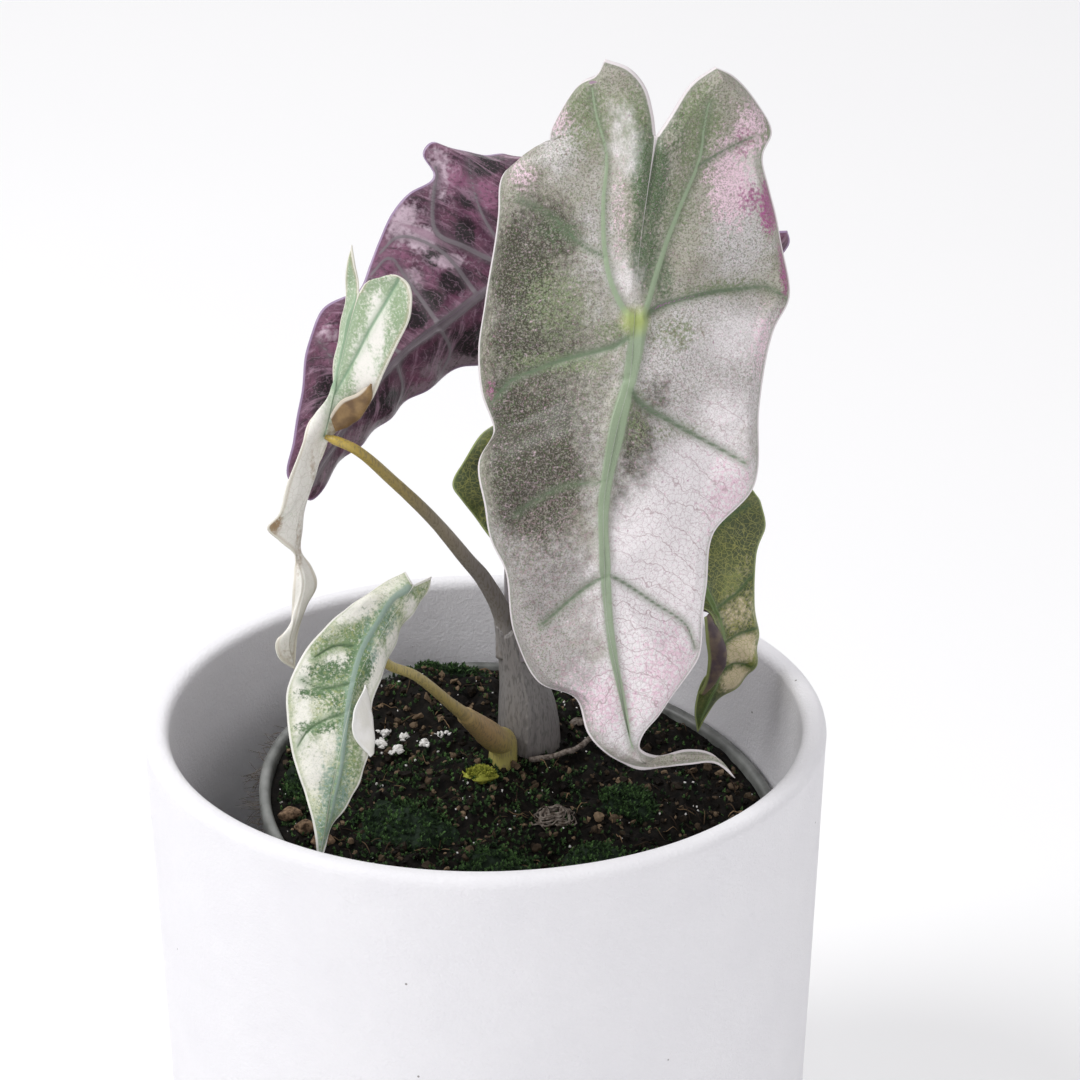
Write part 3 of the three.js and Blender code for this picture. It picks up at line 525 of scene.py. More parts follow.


# ---------------------------------------------------------------- leaves: outlines

# Outlines, the same as the solids': x, y and the height above the nursery pot's rim.
# The margin starts at the widest part of each half, and the lobe is above it.
OUTLINES = {
    "front": {
        "midrib": [
            (32.5, -12, 148.5), (31, -14, 138.5), (29.5, -17, 128), (28.5, -20, 115), (27.5, -25, 105),
            (25, -30, 97), (22.5, -35, 84.5), (22.5, -38, 73.5), (23, -41, 62.5), (25, -43, 52),
            (27.5, -43, 38.5), (29.5, -41, 32.5), (34, -38, 30.5), (39.5, -36, 31), (44.5, -35, 29.5),
            (48.5, -36, 26),
        ],
        "junction": 3,
        "left": {
            "top": (23, -9, 162.5),
            "notch": [(27.5, -10, 161), (30.5, -10, 157.5), (32, -11, 152.5)],
            "lobe": [(21.5, -7, 159), (17.5, -4, 155.5), (13.5, -3, 147.5), (12.5, -4, 144)],
            "margin": [
                (4.5, -4, 139.5), (3, -8, 132), (0.5, -12, 116), (-1, -17, 109), (-0.5, -20, 101),
                (2, -21, 93), (-1, -27, 88.5), (0, -31, 82), (1, -31, 75), (4, -34, 69.5),
                (5.5, -37, 57.5), (10, -40, 49.5), (17, -42, 46.5), (19.5, -44, 40), (24, -44, 35),
                (29.5, -42, 31.5), (34, -39, 30), (39.5, -37, 29.5), (44.5, -36, 29),
            ],
        },
        "right": {
            "top": (43.5, -9, 161),
            "notch": [(39, -10, 158), (35, -11, 152)],
            "lobe": [(47, -8, 159), (52, -6, 153), (54.5, -6, 147.5), (53, -8, 143.5)],
            "margin": [
                (54.5, -8, 136.5), (58.5, -10, 116.5), (55.5, -14, 110.5), (52.5, -20, 97),
                (51.5, -24, 82.5), (43.5, -31, 75.5), (42, -34, 65.5), (41, -37, 54), (38, -40, 49.5),
                (33.5, -42, 43.5), (30, -43, 39.5), (29.5, -42, 36), (33.5, -38, 32), (39, -36, 32.5),
                (44, -35, 31),
            ],
        },
    },
    "twisted": {
        "midrib": [
            (-23.5, -15, 119), (-25.5, -14, 111.5), (-28, -13, 101), (-31, -12, 89), (-33, -15, 82.5),
            (-36, -17, 75), (-37, -18, 67.5), (-35.5, -20, 61.5), (-37, -21, 55), (-38.5, -22, 49),
            (-37.5, -23, 44),
        ],
        "junction": 3,
        "left": {
            "top": (-24.5, -16, 129),
            "notch": [(-24, -16, 125), (-23.5, -15, 121.5)],
            "lobe": [(-25.5, -15, 125.5), (-26, -12, 119.5)],
            "margin": [
                (-26.5, -11, 114.5), (-28.5, -11, 105), (-29.5, -12, 96.5), (-33.5, -13, 92.5),
                (-35, -16, 89), (-37.5, -20, 83), (-39.5, -21, 76.5), (-42, -22, 74), (-39.5, -20, 70),
                (-37, -19, 66.5), (-37.5, -20, 60.5), (-38.5, -21, 52), (-41, -23, 50),
                (-40.5, -24, 47),
            ],
        },
        "right": {
            "top": (-19.5, -17, 122.5),
            "notch": [(-22, -16, 121.5)],
            "lobe": [(-16, -19, 124)],
            "margin": [
                (-13.5, -20, 121.5), (-13.5, -20, 117), (-16, -19, 110.5), (-19, -18, 104),
                (-22, -15, 96.5), (-26.5, -10.5, 91.5), (-30, -10.5, 88), (-32, -14, 84),
                (-34.5, -14, 76.5), (-36, -15, 66.5), (-34, -17, 63.5), (-33, -18, 60),
                (-35, -19, 55.5), (-37, -20, 50.5),
            ],
        },
    },
    "back": {
        "midrib": [
            (35, 34, 120), (24, 34, 117), (13, 34, 111), (2, 33, 104.5), (-5.5, 31, 99),
            (-14.5, 29, 93), (-23, 26, 84.5), (-28.5, 23, 77), (-33.5, 20, 70.5), (-37.5, 18, 64),
        ],
        "junction": 1,
        "left": {
            "top": (45.5, 37, 125),
            "notch": [(40.5, 35, 122)],
            "lobe": [(37.5, 39, 129), (26, 41, 130.5)],
            "margin": [
                (16, 42, 130), (8.5, 43, 127.5), (5, 43, 129), (0, 43, 128.5), (-5, 43, 130),
                (-10, 42, 132), (-12, 41, 130), (-10, 38, 125.5), (-15, 37, 122.5), (-18.5, 36, 118.5),
                (-21, 34, 113.5), (-23, 32, 109), (-25.5, 30, 104), (-28.5, 29, 103), (-33, 28, 100.5),
                (-36, 25, 93), (-37.5, 22, 83.5), (-39, 20, 75.5), (-40.5, 19, 68),
            ],
        },
        "right": {
            "top": (62, 31, 116),
            "notch": [(51.5, 32, 115.5), (42.5, 33, 117.5)],
            "lobe": [(62.5, 31, 113), (53, 33, 103.5), (42.5, 34, 99)],
            "margin": [
                (32.5, 35, 93.5), (22, 36, 89.5), (9.5, 36, 87.5), (-1, 36, 85.5), (-5, 35, 85),
                (-10.5, 34, 82), (-18, 31, 77.5), (-23, 28, 73.5), (-28.5, 24, 70), (-36, 19, 62.5),
            ],
        },
    },
    "small": {
        "midrib": [
            (-14, -22, 61.5), (-16, -24, 59), (-18.5, -27, 56.5), (-21, -31, 53.5), (-23.5, -35, 50.5),
            (-25.5, -39, 46), (-27, -43, 41), (-28.5, -46, 35), (-30, -48, 28.5), (-31.5, -50, 21),
            (-32.5, -51, 15.5),
        ],
        "junction": 3,
        "left": {
            "top": (-15.5, -19, 63),
            "notch": [],
            "lobe": [(-19.5, -22, 62)],
            "margin": [
                (-25.5, -28, 60.5), (-31.5, -33, 57), (-35.5, -36, 52.5), (-38, -39, 47.5),
                (-38, -42, 43.5), (-37, -46, 37.5), (-34.5, -48, 29), (-33, -50, 23),
            ],
        },
        "right": {
            "top": (-10.5, -18, 61.5),
            "notch": [],
            "lobe": [(-11.5, -19, 58.5)],
            "margin": [
                (-13.5, -21, 56), (-16, -23, 53.5), (-18, -26, 50), (-20, -32, 47), (-22, -36, 43.5),
                (-22, -40, 39), (-23, -43, 34), (-26, -46, 27.5), (-29.5, -48, 23),
            ],
        },
    },
    "low": {
        "midrib": [
            (23.5, 9, 81), (24.5, 8, 78.5), (25.5, 7, 75.5), (33.5, 7, 65), (41.5, 9, 52.5),
            (47, 12, 41), (49.5, 14, 32), (48, 16, 20.5), (46, 17, 14.5), (45, 18, 8.5),
        ],
        "junction": 2,
        "left": {
            "top": (5.5, 13, 83),
            "notch": [(15.5, 11, 82)],
            "lobe": [(0, 12, 80), (-4.5, 12, 73)],
            "margin": [
                (-6.5, 12, 68.5), (-4.5, 11, 65.5), (0.5, 10, 58.5), (9, 9, 49.5), (21.5, 8, 42),
                (36, 8, 39), (45, 9, 42), (48, 10, 34.5), (49, 11, 30), (46, 13, 23.5),
                (44.5, 15, 18.5), (44, 16, 14.5),
            ],
        },
        "right": {
            "top": (42, 14, 80.5),
            "notch": [(31.5, 11, 80.5)],
            "lobe": [(49, 14, 75.5)],
            "margin": [
                (55, 16, 65.5), (57, 17, 62), (58, 18, 56), (56.5, 18, 49.5), (56, 18, 43.5),
                (57, 19, 35), (57.5, 19, 27.5), (57, 19, 23.5), (54.5, 19, 20), (51, 18, 17.5),
                (48, 18, 14.5), (46, 18, 11.5),
            ],
        },
    },
}

# ---------------------------------------------------------------- leaves: veins, patches and tones

# A vein is its line seen from the front, its half width at both ends, and how far it stands up from
# the face (sunken where negative). A patch is its middle, its two half sizes and its strength.
# Wave is how far the margin waves, and quilt is how far the blade puffs up between its veins.
LOOKS = {
    "front": {
        "veins": [
            ([(29.5, 115), (27.5, 105), (25, 97), (22.5, 85), (22.5, 74.5), (23, 66), (24, 57), (26, 47),
              (27.5, 37.5)], 1.55, 0.3, 1.5),
            ([(28.5, 115), (26, 118), (23.5, 125), (23, 134.5), (23.5, 144.5), (22, 151.5), (21.5, 157)],
             0.75, 0.2, 0.8),
            ([(29.5, 115), (31, 118), (33.5, 126), (37, 135.5), (40.5, 143.5), (42, 154.5)],
             0.75, 0.2, 0.8),
            ([(40.5, 142.5), (46.5, 145.5), (50.5, 147)], 0.35, 0.2, -0.4),
            ([(23.5, 126), (18.5, 128), (13.5, 132.5), (7.5, 135)], 0.4, 0.2, -0.5),
            ([(30, 115.5), (33, 117), (42.5, 118.7), (49, 118.7), (54, 118.3), (58, 115.5)],
             0.6, 0.25, -0.8),
            ([(27.5, 112), (25, 110.5), (16.5, 108), (9, 105), (5, 103), (1.5, 99)], 0.6, 0.25, -0.7),
            ([(26.5, 105), (29.5, 101), (36, 96.5), (45, 90.5), (49, 87.5)], 0.6, 0.3, -0.8),
            ([(22.5, 88), (14, 86), (6, 81)], 0.2, 0.15, -0.3),
            ([(22.5, 70.5), (20, 69), (16, 65.5), (11, 60.5)], 0.4, 0.25, -0.5),
            ([(23, 71), (25.5, 69.5), (32, 64.5), (38.5, 59), (39.5, 55)], 0.4, 0.2, -0.5),
        ],
        "patches": {
            "lilac": [(43, 104, 16, 14, 1.0), (38, 86, 13, 14, 1.0), (15, 146, 6, 8, 0.6),
                      (21, 90, 4, 13, 0.5), (22, 128, 6, 15, 0.5), (48, 128, 7, 10, 0.7)],
            "grey": [(10, 66, 11, 14, 1.0), (14, 50, 7, 9, 1.0), (6, 76, 7, 8, 0.7), (16, 42, 6, 7, 0.8),
                     # Painted shade: this grey patch is a darker band on the right of the midrib
                     (26.5, 80, 2.4, 9, 0.45)],
            "olive": [(10, 88, 9, 13, 1.0), (5, 97, 5, 9, 0.9), (13, 97, 6, 7, 0.85), (10, 103, 13, 36, 0.6),
                      (8, 94, 7, 7, 1.0), (32, 101, 4, 5, 0.5), (8, 121, 7, 13, 0.85),
                      (13, 130, 6, 7, 0.7), (7, 110, 7, 6, 0.75),
                      # Painted shade: these four olive patches are darker bands down both sides of the midrib
                      (28.5, 93, 3.4, 9, 0.7), (25.8, 82, 2.4, 9, 0.6), (19, 78, 2.5, 8, 0.35),
                      (20, 92, 2.5, 10, 0.4)],
            "green": [(14, 117, 7, 7, 0.5), (20, 152, 7, 8, 0.6), (29, 150, 4, 9, 0.7),
                      (40, 150, 5, 9, 0.7), (36, 112, 5, 3, 0.5), (28, 98, 3.5, 5, 0.5),
                      (14, 107, 10, 2, 0.6), (53, 146, 4, 5, 0.6), (36, 136, 4, 8, 0.5),
                      (25, 113, 5, 2, 0.5), (45, 119.5, 9, 1.5, 0.5), (38, 95, 9, 1.8, 0.4)],
            "dark": [(31.5, 141, 3.2, 9, 0.9), (30.5, 128, 3, 8, 0.7), (34, 122, 2, 5, 0.6),
                     (15, 130, 5, 2.5, 0.5), (36, 149, 2, 6, 0.4)],
            "pale": [(33, 68, 12, 19, 1.0), (40, 83, 10, 11, 0.9), (29, 48, 9, 12, 1.0),
                     (45, 95, 6, 7, 0.6), (19, 50, 4, 7, 0.4), (47, 110, 7, 5, 0.5),
                     (27, 147, 4, 8, 0.5), (50, 141, 4, 8, 0.45), (27, 122, 4, 6, 0.45)],
            "pink": [(46, 139, 4, 8, 0.8), (50, 149, 3.5, 5, 0.7), (8.6, 139, 2.6, 2.2, 0.5),
                     (14.5, 149.5, 3.5, 3.5, 0.6), (26, 134, 1.8, 8, 0.3), (22, 47, 8, 6, 0.5),
                     (34, 52, 6, 9, 0.5), (46, 82, 5, 7, 0.5), (53, 108, 3, 6, 0.5)],
            "magenta": [(54, 134, 2.2, 5, 0.9), (57.5, 123, 1.4, 7, 0.8), (57, 109, 1.6, 5, 0.7),
                        (50, 136, 2.5, 3, 0.5), (49, 146, 1.5, 3, 0.4), (1.5, 101, 1, 3, 0.4)],
        },
        "net": [(24, 55, 18, 24, 0.8), (36, 76, 14, 20, 0.75), (42, 98, 12, 14, 0.6),
                (14, 70, 10, 16, 0.6)],
        "junction_glow": 2.8,
        "wave": 0.5,
        "quilt": 2.2,
    },
    "twisted": {
        "veins": [
            ([(-15.5, 124), (-21.5, 112), (-28.5, 98)], 0.4, 0.3, -0.5),
            ([(-23.5, 119), (-25.5, 111), (-28, 101), (-31, 89)], 0.35, 0.3, 0.3),
        ],
        "patches": {
            "green": [(-24, 113, 4.5, 9, 0.8), (-15.5, 117, 2, 6, 0.8), (-20, 121, 4.5, 3, 0.7),
                      (-17.5, 108, 3, 8, 0.6), (-25, 124, 2, 7, 0.8), (-26, 103, 3, 7, 0.6)],
            "cream": [(-22.5, 104, 2.5, 7, 0.8), (-20, 113, 1.8, 7, 0.8), (-33, 82, 7, 14, 1.0),
                      (-37, 60, 8, 18, 1.0)],
            "brown": [(-29.5, 90, 1.2, 2.5, 0.5), (-33.5, 84, 0.6, 4, 0.4), (-36.5, 68, 0.8, 6, 0.4),
                      (-41, 75, 1.5, 3, 0.8), (-38.5, 47, 2.5, 3, 0.3), (-34.5, 70, 1, 4, 0.4)],
        },
        "net": [(-34, 80, 8, 14, 0.25)],
        "junction_glow": 0,
        "wave": 0.2,
        "quilt": 0.3,
    },
    "back": {
        "veins": [
            ([(30, 118), (13, 110), (1.5, 103.5), (-7, 98), (-16, 91.5), (-23, 84.5), (-28.5, 77.5),
              (-36, 66)], 1.5, 0.4, 1.0),
            ([(-9.5, 127), (-9.5, 115), (-4, 112), (4, 108.5), (14, 108)], 0.5, 0.7, 0.6),
            ([(-1, 102), (-8.5, 111), (-17, 114), (-21, 111)], 0.6, 0.3, 0.4),
            ([(-9, 96.5), (-15, 105), (-19, 110), (-23, 107)], 0.6, 0.3, 0.4),
            ([(-17, 91), (-24, 97), (-28, 101)], 0.5, 0.25, 0.35),
            ([(-23, 84.5), (-30, 90), (-34, 95)], 0.45, 0.2, 0.3),
            ([(8, 107), (0, 118), (-3, 128)], 0.5, 0.25, 0.35),
            ([(14, 110), (8, 120), (6, 127)], 0.5, 0.25, 0.35),
            ([(24, 115), (22, 124), (24, 129)], 0.5, 0.25, 0.3),
            ([(3, 103), (4, 95), (0, 87)], 0.6, 0.3, 0.4),
            ([(-9, 96), (-7, 90), (-9, 84)], 0.5, 0.25, 0.35),
            ([(-18, 89), (-17, 83), (-19, 78)], 0.45, 0.2, 0.3),
            ([(18, 110), (20, 102), (18, 92)], 0.5, 0.25, 0.35),
            ([(33, 118), (36, 108), (33, 97)], 0.5, 0.25, 0.35),
            ([(35, 119), (50, 112), (60, 113)], 0.6, 0.3, 0.4),
        ],
        "patches": {
            "rose": [(-1, 121, 4, 4, 0.8), (-29.5, 94, 5, 5, 0.7), (-5, 125, 5, 3, 0.6),
                     (-21, 110, 6, 4, 0.7), (-9, 107, 4, 4, 0.5), (16, 122, 8, 5, 0.6),
                     (32, 124, 8, 4, 0.5)],
            "dark": [(-9.5, 111, 2.6, 3.2, 1.0), (-3.5, 114.5, 2, 3, 1.0), (-6, 105, 3, 2.6, 1.0),
                     (-11, 101.5, 3, 2, 1.0), (-14, 98, 3, 2, 1.0), (0.5, 127, 4, 2, 1.0),
                     (-3, 121, 2.4, 2, 0.7), (-32, 84, 3, 5, 0.8), (-2, 92, 8, 4, 0.9),
                     (-21, 81, 5, 3, 0.7), (-18, 102, 5, 3, 0.8), (-22, 98, 3, 2.4, 0.7), (12, 96, 9, 4, 0.8),
                     (26, 100, 8, 5, 0.8), (12, 116, 4, 3, 0.8), (28, 112, 5, 3, 0.7)],
            # Painted sheen: the white patches are pink-white sheen where light catches the leaf
            "white": [(-12.5, 113.5, 3, 2.4, 0.9), (-16.5, 117, 4, 4.5, 0.7), (-6.8, 109, 3, 1.3, 1.0),
                      (-31.5, 96, 2.5, 2, 0.5), (-9, 126, 2.5, 5, 0.6), (-14, 106, 2, 3, 0.4)],
            "grey": [(-1, 86.5, 12, 3, 0.9), (-10, 81, 8, 3, 0.9), (-20, 74, 8, 3.4, 0.9),
                     (-30, 68, 7, 3.5, 0.8), (-15, 105, 3, 3, 0.6), (16, 90, 12, 3, 0.8)],
        },
        "net": [(-10, 100, 60, 50, 0.3)],
        "junction_glow": 0,
        "wave": 0.6,
        "quilt": 1.3,
    },
    "small": {
        "veins": [
            ([(-15, 61), (-18, 60), (-21, 56.5), (-24, 52.5), (-26, 46.5), (-27, 40.5), (-27.7, 35.5),
              (-29, 30), (-31, 22.5)], 0.8, 0.3, 0.5),
            ([(-25.5, 53.5), (-29, 54), (-33, 52.5)], 0.32, 0.2, -0.5),
            ([(-26, 48), (-31.5, 47.5), (-35.5, 49)], 0.32, 0.2, -0.5),
            ([(-27, 43.5), (-30.5, 42.7), (-34, 41), (-36, 38.5)], 0.32, 0.2, -0.5),
        ],
        "patches": {
            "green": [(-25, 55, 3, 3.5, 0.9), (-30.5, 49, 4, 2, 0.6), (-21, 53.5, 3, 4, 0.9),
                      (-25.5, 35, 3, 4, 0.6), (-27, 47, 2, 4, 0.6), (-33.5, 39, 2, 3, 0.5),
                      (-29.5, 45, 3.5, 1.4, 0.5), (-15, 60, 3, 2, 0.7), (-31, 54, 3, 2, 0.6)],
            "shade": [(-30, 50, 4.5, 1.8, 0.7), (-32, 46.8, 4, 1, 0.75), (-32, 41.5, 4.5, 1, 0.75),
                      (-24.5, 50.5, 2.2, 4, 0.9), (-20, 57.5, 3, 2.2, 0.35), (-28, 44, 2, 3, 0.6)],
            "teal": [(-23, 53, 1.8, 4.5, 0.7), (-26, 45.5, 1.3, 5, 0.6), (-27.5, 38.5, 1.3, 5, 0.6),
                     (-29, 29, 3, 7, 0.7), (-19.5, 57, 2, 3, 0.6), (-31.5, 21, 2.5, 5, 0.9)],
            "cream": [(-28.5, 51.5, 3, 1.6, 0.7), (-26, 60, 5, 2.5, 0.9), (-35.5, 50, 2, 6, 0.8),
                      (-18, 61, 4, 2.5, 0.5), (-35, 42, 1.8, 7, 0.8), (-33, 35, 2.5, 5, 0.8),
                      (-30, 39.5, 2.2, 4, 0.6), (-21, 46, 1.8, 7, 1.0),
                      (-22.5, 38, 1.6, 6, 1.0), (-18.5, 52, 1.4, 4, 0.7), (-15, 57, 1.4, 3, 0.7)],
        },
        "net": [(-29, 42, 8, 20, 0.15)],
        "junction_glow": 0,
        "wave": 0.25,
        "quilt": 0.5,
    },
    "low": {
        "veins": [
            ([(25, 76), (33.5, 65), (41.5, 52.5), (47, 41), (49.5, 32), (48, 20.5), (45.5, 12)],
             0.9, 0.4, 0.5),
            ([(47.5, 40), (52, 42), (56, 46)], 0.5, 0.3, -0.3),
            ([(49.3, 31), (52, 32.5), (56.5, 33)], 0.5, 0.3, -0.3),
            ([(48.8, 24), (52, 25.5), (56, 24)], 0.45, 0.25, -0.3),
            ([(41, 53), (46, 57), (54, 62)], 0.5, 0.3, -0.3),
            ([(33, 65), (38, 72), (46, 76)], 0.5, 0.3, -0.3),
            ([(28, 72), (14, 74), (2, 72)], 0.5, 0.3, -0.3),
            ([(34, 64), (22, 60), (8, 58)], 0.5, 0.3, -0.3),
        ],
        "patches": {
            "tan": [(53, 29, 3.8, 3.8, 1.0), (52.5, 21.5, 3.2, 3.2, 1.0), (52, 38, 4.4, 4.4, 0.5),
                    (54, 47, 3, 4, 0.2)],
            "dark": [(54, 56, 5, 7, 0.6), (48, 16, 2, 4, 0.5), (-2, 72, 6, 6, 0.8), (0, 62, 5, 5, 0.6)],
            "lime": [(57, 38, 1.6, 14, 0.6), (51, 45, 3, 5, 0.5), (56, 26, 1.6, 5, 0.7)],
        },
        "net": [(52, 42, 10, 22, 0.9), (10, 66, 30, 16, 0.5)],
        "junction_glow": 0,
        "wave": 0.4,
        "quilt": 0.7,
    },
}

# Colours of each leaf's upper skin. A tone is its colour, the grain of its broken edge in millimetres and
# how much that grain breaks it up. A fleck is its colour, grain, the level where it starts, its strength,
# and the tone that thins it out. A streak is the two levels it runs between, its colour and its strength.
SKINS = {
    "front": {
        "base": ("#b3b0a3", "#a09d8e"),
        "tones": {"lilac": ("#d0cccc", 2.4, 0.9), "grey": ("#b0acab", 2.0, 0.8),
                  "olive": ("#3a3829", 1.1, 0.9), "green": ("#7b8b62", 0.6, 1.8),
                  "dark": ("#4d6842", 0.6, 1.4), "pale": ("#f3eef0", 2.6, 0.7),
                  "pink": ("#edcfdd", 0.7, 1.8), "magenta": ("#a9568c", 0.6, 1.7)},
        "flecks": [("#b9b7a6", 0.4, 0.55, 0.4, "pale"), ("#45492f", 0.33, 0.51, 0.5, "pale"),
                   ("#8c6f72", 0.55, 0.58, 0.3, "pale"), ("#5f784a", 0.5, 0.56, 0.45, "pale"),
                   ("#b4a8ac", 0.3, 0.54, 0.3, None)],
        "net_size": 1.3, "cells": 0.6, "rung_step": 4.4, "net_colour": "#a98f95",
        "halo": "#6a7c5f", "vein": "#97aa8b", "furrow": "#667a5e", "margin": "#f1e9ec",
        "margin_inner": "#8c9384", "junction": "#b3c068", "roughness": 0.44,
    },
    "twisted": {
        "base": ("#dfe0d2", "#cfd8c4"),
        "tones": {"green": ("#9cb08d", 0.6, 1.7), "cream": ("#f2efe8", 0.9, 1.2),
                  "brown": ("#a18463", 0.8, 0.7)},
        "flecks": [("#eceee2", 0.5, 0.56, 0.5, None), ("#7a9c74", 0.4, 0.53, 0.5, "cream")],
        "net_size": 1.8, "rung_step": 5, "net_colour": "#b4aa98",
        "halo": "#a9c0a0", "vein": "#93b090", "furrow": "#7f9f80", "margin": "#efece0",
        "margin_inner": "#b9a88c",
        "junction": "#c3c866", "roughness": 0.5,
    },
    "back": {
        "base": ("#74485f", "#4b2e40"),
        # Painted sheen: the lighter streak colour and the white tone stand for curved pink-white sheen on
        # this leaf
        "streaks": [(0.52, 0.66, "#a9879b", 0.75), (0.46, 0.34, "#2a1e25", 0.75)], "cells": 0,
        "tones": {"rose": ("#96607e", 1.2, 1.2), "grey": ("#8d8086", 1.6, 1.0),
                  "dark": ("#231f20", 1.2, 1.1), "white": ("#d6c0ce", 1.0, 1.2)},
        "flecks": [("#9a7089", 0.5, 0.56, 0.35, None), ("#33232c", 0.7, 0.55, 0.45, "white"),
                   ("#b99aac", 1.4, 0.6, 0.3, None)],
        "net_size": 3.4, "rung_step": 2.6, "net_colour": "#b397aa",
        "halo": "#6e5f68", "vein": "#827b80", "furrow": "#8f8494", "margin": "#a58fb0",
        "margin_inner": "#6f4d68",
        "junction": "#8a9a6a", "roughness": 0.34,
    },
    "small": {
        "base": ("#dfdfcb", "#c3cbaa"),
        "tones": {"green": ("#84996a", 0.7, 1.8), "cream": ("#f4f2e8", 0.8, 1.3),
                  "teal": ("#88a294", 0.7, 1.2), "shade": ("#54724a", 0.6, 1.7)},
        "flecks": [("#54764a", 0.4, 0.54, 0.6, "cream"), ("#f0efe4", 0.5, 0.57, 0.5, None),
                   ("#b0b36a", 0.8, 0.56, 0.5, "cream"), ("#5f7a53", 1.3, 0.56, 0.5, "cream")],
        "net_size": 1.4, "rung_step": 4, "net_colour": "#7d9a78",
        "halo": "#7d9a70", "vein": "#8ea398", "furrow": "#48673f", "margin": "#f1efe9",
        "margin_inner": "#a9b58e",
        "junction": "#c3c866", "roughness": 0.46,
    },
    "low": {
        "base": ("#566029", "#465325"),
        "tones": {"lime": ("#87904a", 1.4, 1.0), "dark": ("#39451f", 1.6, 0.9),
                  "tan": ("#dccdab", 0.9, 1.2)},
        "flecks": [("#7d7f3f", 0.6, 0.58, 0.5, "tan"), ("#3d4a22", 0.5, 0.58, 0.5, "tan")],
        "net_size": 1.2, "rung_step": 3, "net_colour": "#a3a254",
        "halo": "#3f5a2a", "vein": "#6c8548", "furrow": "#42602c", "margin": "#9aa66a",
        "margin_inner": "#4c5d2c",
        "junction": "#8a9a5a", "roughness": 0.42,
    },
}

# Undersides, and what shows where a leaf curls over
UNDER_SKINS = {
    "front": ("#a58c9c", "#8d7388", "#b9a9b0"),
    "twisted": ("#e4ddcf", "#bfa98a", "#cdbda2"),
    "back": ("#5a6a44", "#47563a", "#8fa07c"),
    "small": ("#d5d3bd", "#a9ad86", "#c3c7a4"),
    "low": ("#6b5a50", "#5b4a4c", "#8a7c66"),
}


# ---------------------------------------------------------------- leaves: shape


def leaf_sheet(outline, rows, lobe_rows, columns):
    """A leaf's middle surface. Each half runs from the top of its lobe to the tip, between an inner line
    (the notch's edge, then the midrib) and its outer line, which is the margin.

    Gives points, quads, and for each point its share across the half, its distance to the margin and its
    row along the midrib."""
    midrib = outline["midrib"]
    rib = spaced(midrib, 0, len(midrib) - 1, rows + 1)
    share = np.linspace(0, 1, columns + 1) ** 0.92
    points, faces = [rib], []
    across, to_edge, along = [np.zeros(rows + 1)], [np.zeros(rows + 1)], [np.arange(rows + 1)]
    count = rows + 1
    for key in ("left", "right"):
        half = outline[key]
        notch_line = [half["top"], *half["notch"], midrib[0]]
        outer_line = [half["top"], *half["lobe"], *half["margin"], midrib[-1]]
        shoulder = len(half["lobe"]) + 1
        lobe_inner = spaced(notch_line, 0, len(notch_line) - 1, lobe_rows + 1)[1:-1]
        lobe_outer = spaced(outer_line, 0, shoulder, lobe_rows + 1)[1:-1]
        body_outer = spaced(outer_line, shoulder, len(outer_line) - 1, rows + 1)[:-1]
        inner = np.vstack([lobe_inner, rib[:-1]])
        outer = np.vstack([lobe_outer, body_outer])
        grid = inner[:, None] + (outer - inner)[:, None] * share[None, :, None]
        width = np.linalg.norm(outer - inner, axis=1)[:, None]
        edge = (1 - share) * width
        edge[: lobe_rows - 1] = np.minimum(edge, share * width)[: lobe_rows - 1]
        edge = np.minimum(edge, np.linalg.norm(grid - rib[0], axis=2) + 0.4)
        row_place = np.r_[np.linspace(-lobe_rows, -1, lobe_rows - 1), np.arange(rows)]
        ids = count + 1 + np.arange(grid.shape[0] * (columns + 1)).reshape(-1, columns + 1)
        top = count
        ids[lobe_rows - 1 :, 0] = np.arange(rows)
        points += [np.array([half["top"]], float), grid.reshape(-1, 3)]
        across += [[0], np.broadcast_to(share, edge.shape).ravel()]
        to_edge += [[0], edge.ravel()]
        along += [[-lobe_rows], np.repeat(row_place, columns + 1)]
        count += 1 + grid.shape[0] * (columns + 1)
        rows_above = np.vstack([np.full((1, columns + 1), top), ids])
        rows_below = np.vstack([ids, np.full((1, columns + 1), rows)])
        quads = np.stack([
            rows_above[:, :-1], rows_above[:, 1:], rows_below[:, 1:], rows_below[:, :-1],
        ], -1).reshape(-1, 4)
        faces.append(quads if key == "left" else quads[:, ::-1])
    points = np.vstack(points)
    faces = np.vstack(faces)
    used = np.unique(faces)
    renumber = np.zeros(len(points), int)
    renumber[used] = np.arange(len(used))
    measured = [
        np.concatenate([np.ravel(part) for part in parts])[used] for parts in (across, to_edge, along)
    ]
    return points[used], renumber[faces], measured


def patch_strength(view, patches):
    """How strongly a set of soft oval patches covers each point of the front view, 0 to 1."""
    total = np.zeros(len(view))
    for x, z, wide, high, strength in patches:
        reach = ((view[:, 0] - x) / wide) ** 2 + ((view[:, 1] - z) / high) ** 2
        total = np.maximum(total, strength * np.exp(-(reach**1.5) * 0.7))
    return total


def edge_corners(faces):
    """The directed edges that only one face uses."""
    starts = faces.ravel()
    ends = np.roll(faces, -1, axis=1).ravel()
    real = starts != ends
    pairs = np.stack([starts[real], ends[real]], 1)
    size = faces.max() + 1
    forward = pairs[:, 0] * size + pairs[:, 1]
    backward = pairs[:, 1] * size + pairs[:, 0]
    return pairs[~np.isin(forward, backward)]


def closed_shell(front, back, faces):
    """A thin closed shell from a sheet's two sides: front faces, back faces, then the walls at its rim."""
    count = len(front)
    rim = edge_corners(faces)
    walls = np.stack([rim[:, 1], rim[:, 0], rim[:, 0] + count, rim[:, 1] + count], 1)
    points = np.vstack([front, back])
    points[:, 2] += rim_level
    return points, outward(points, np.vstack([faces, faces[:, ::-1] + count, walls]))


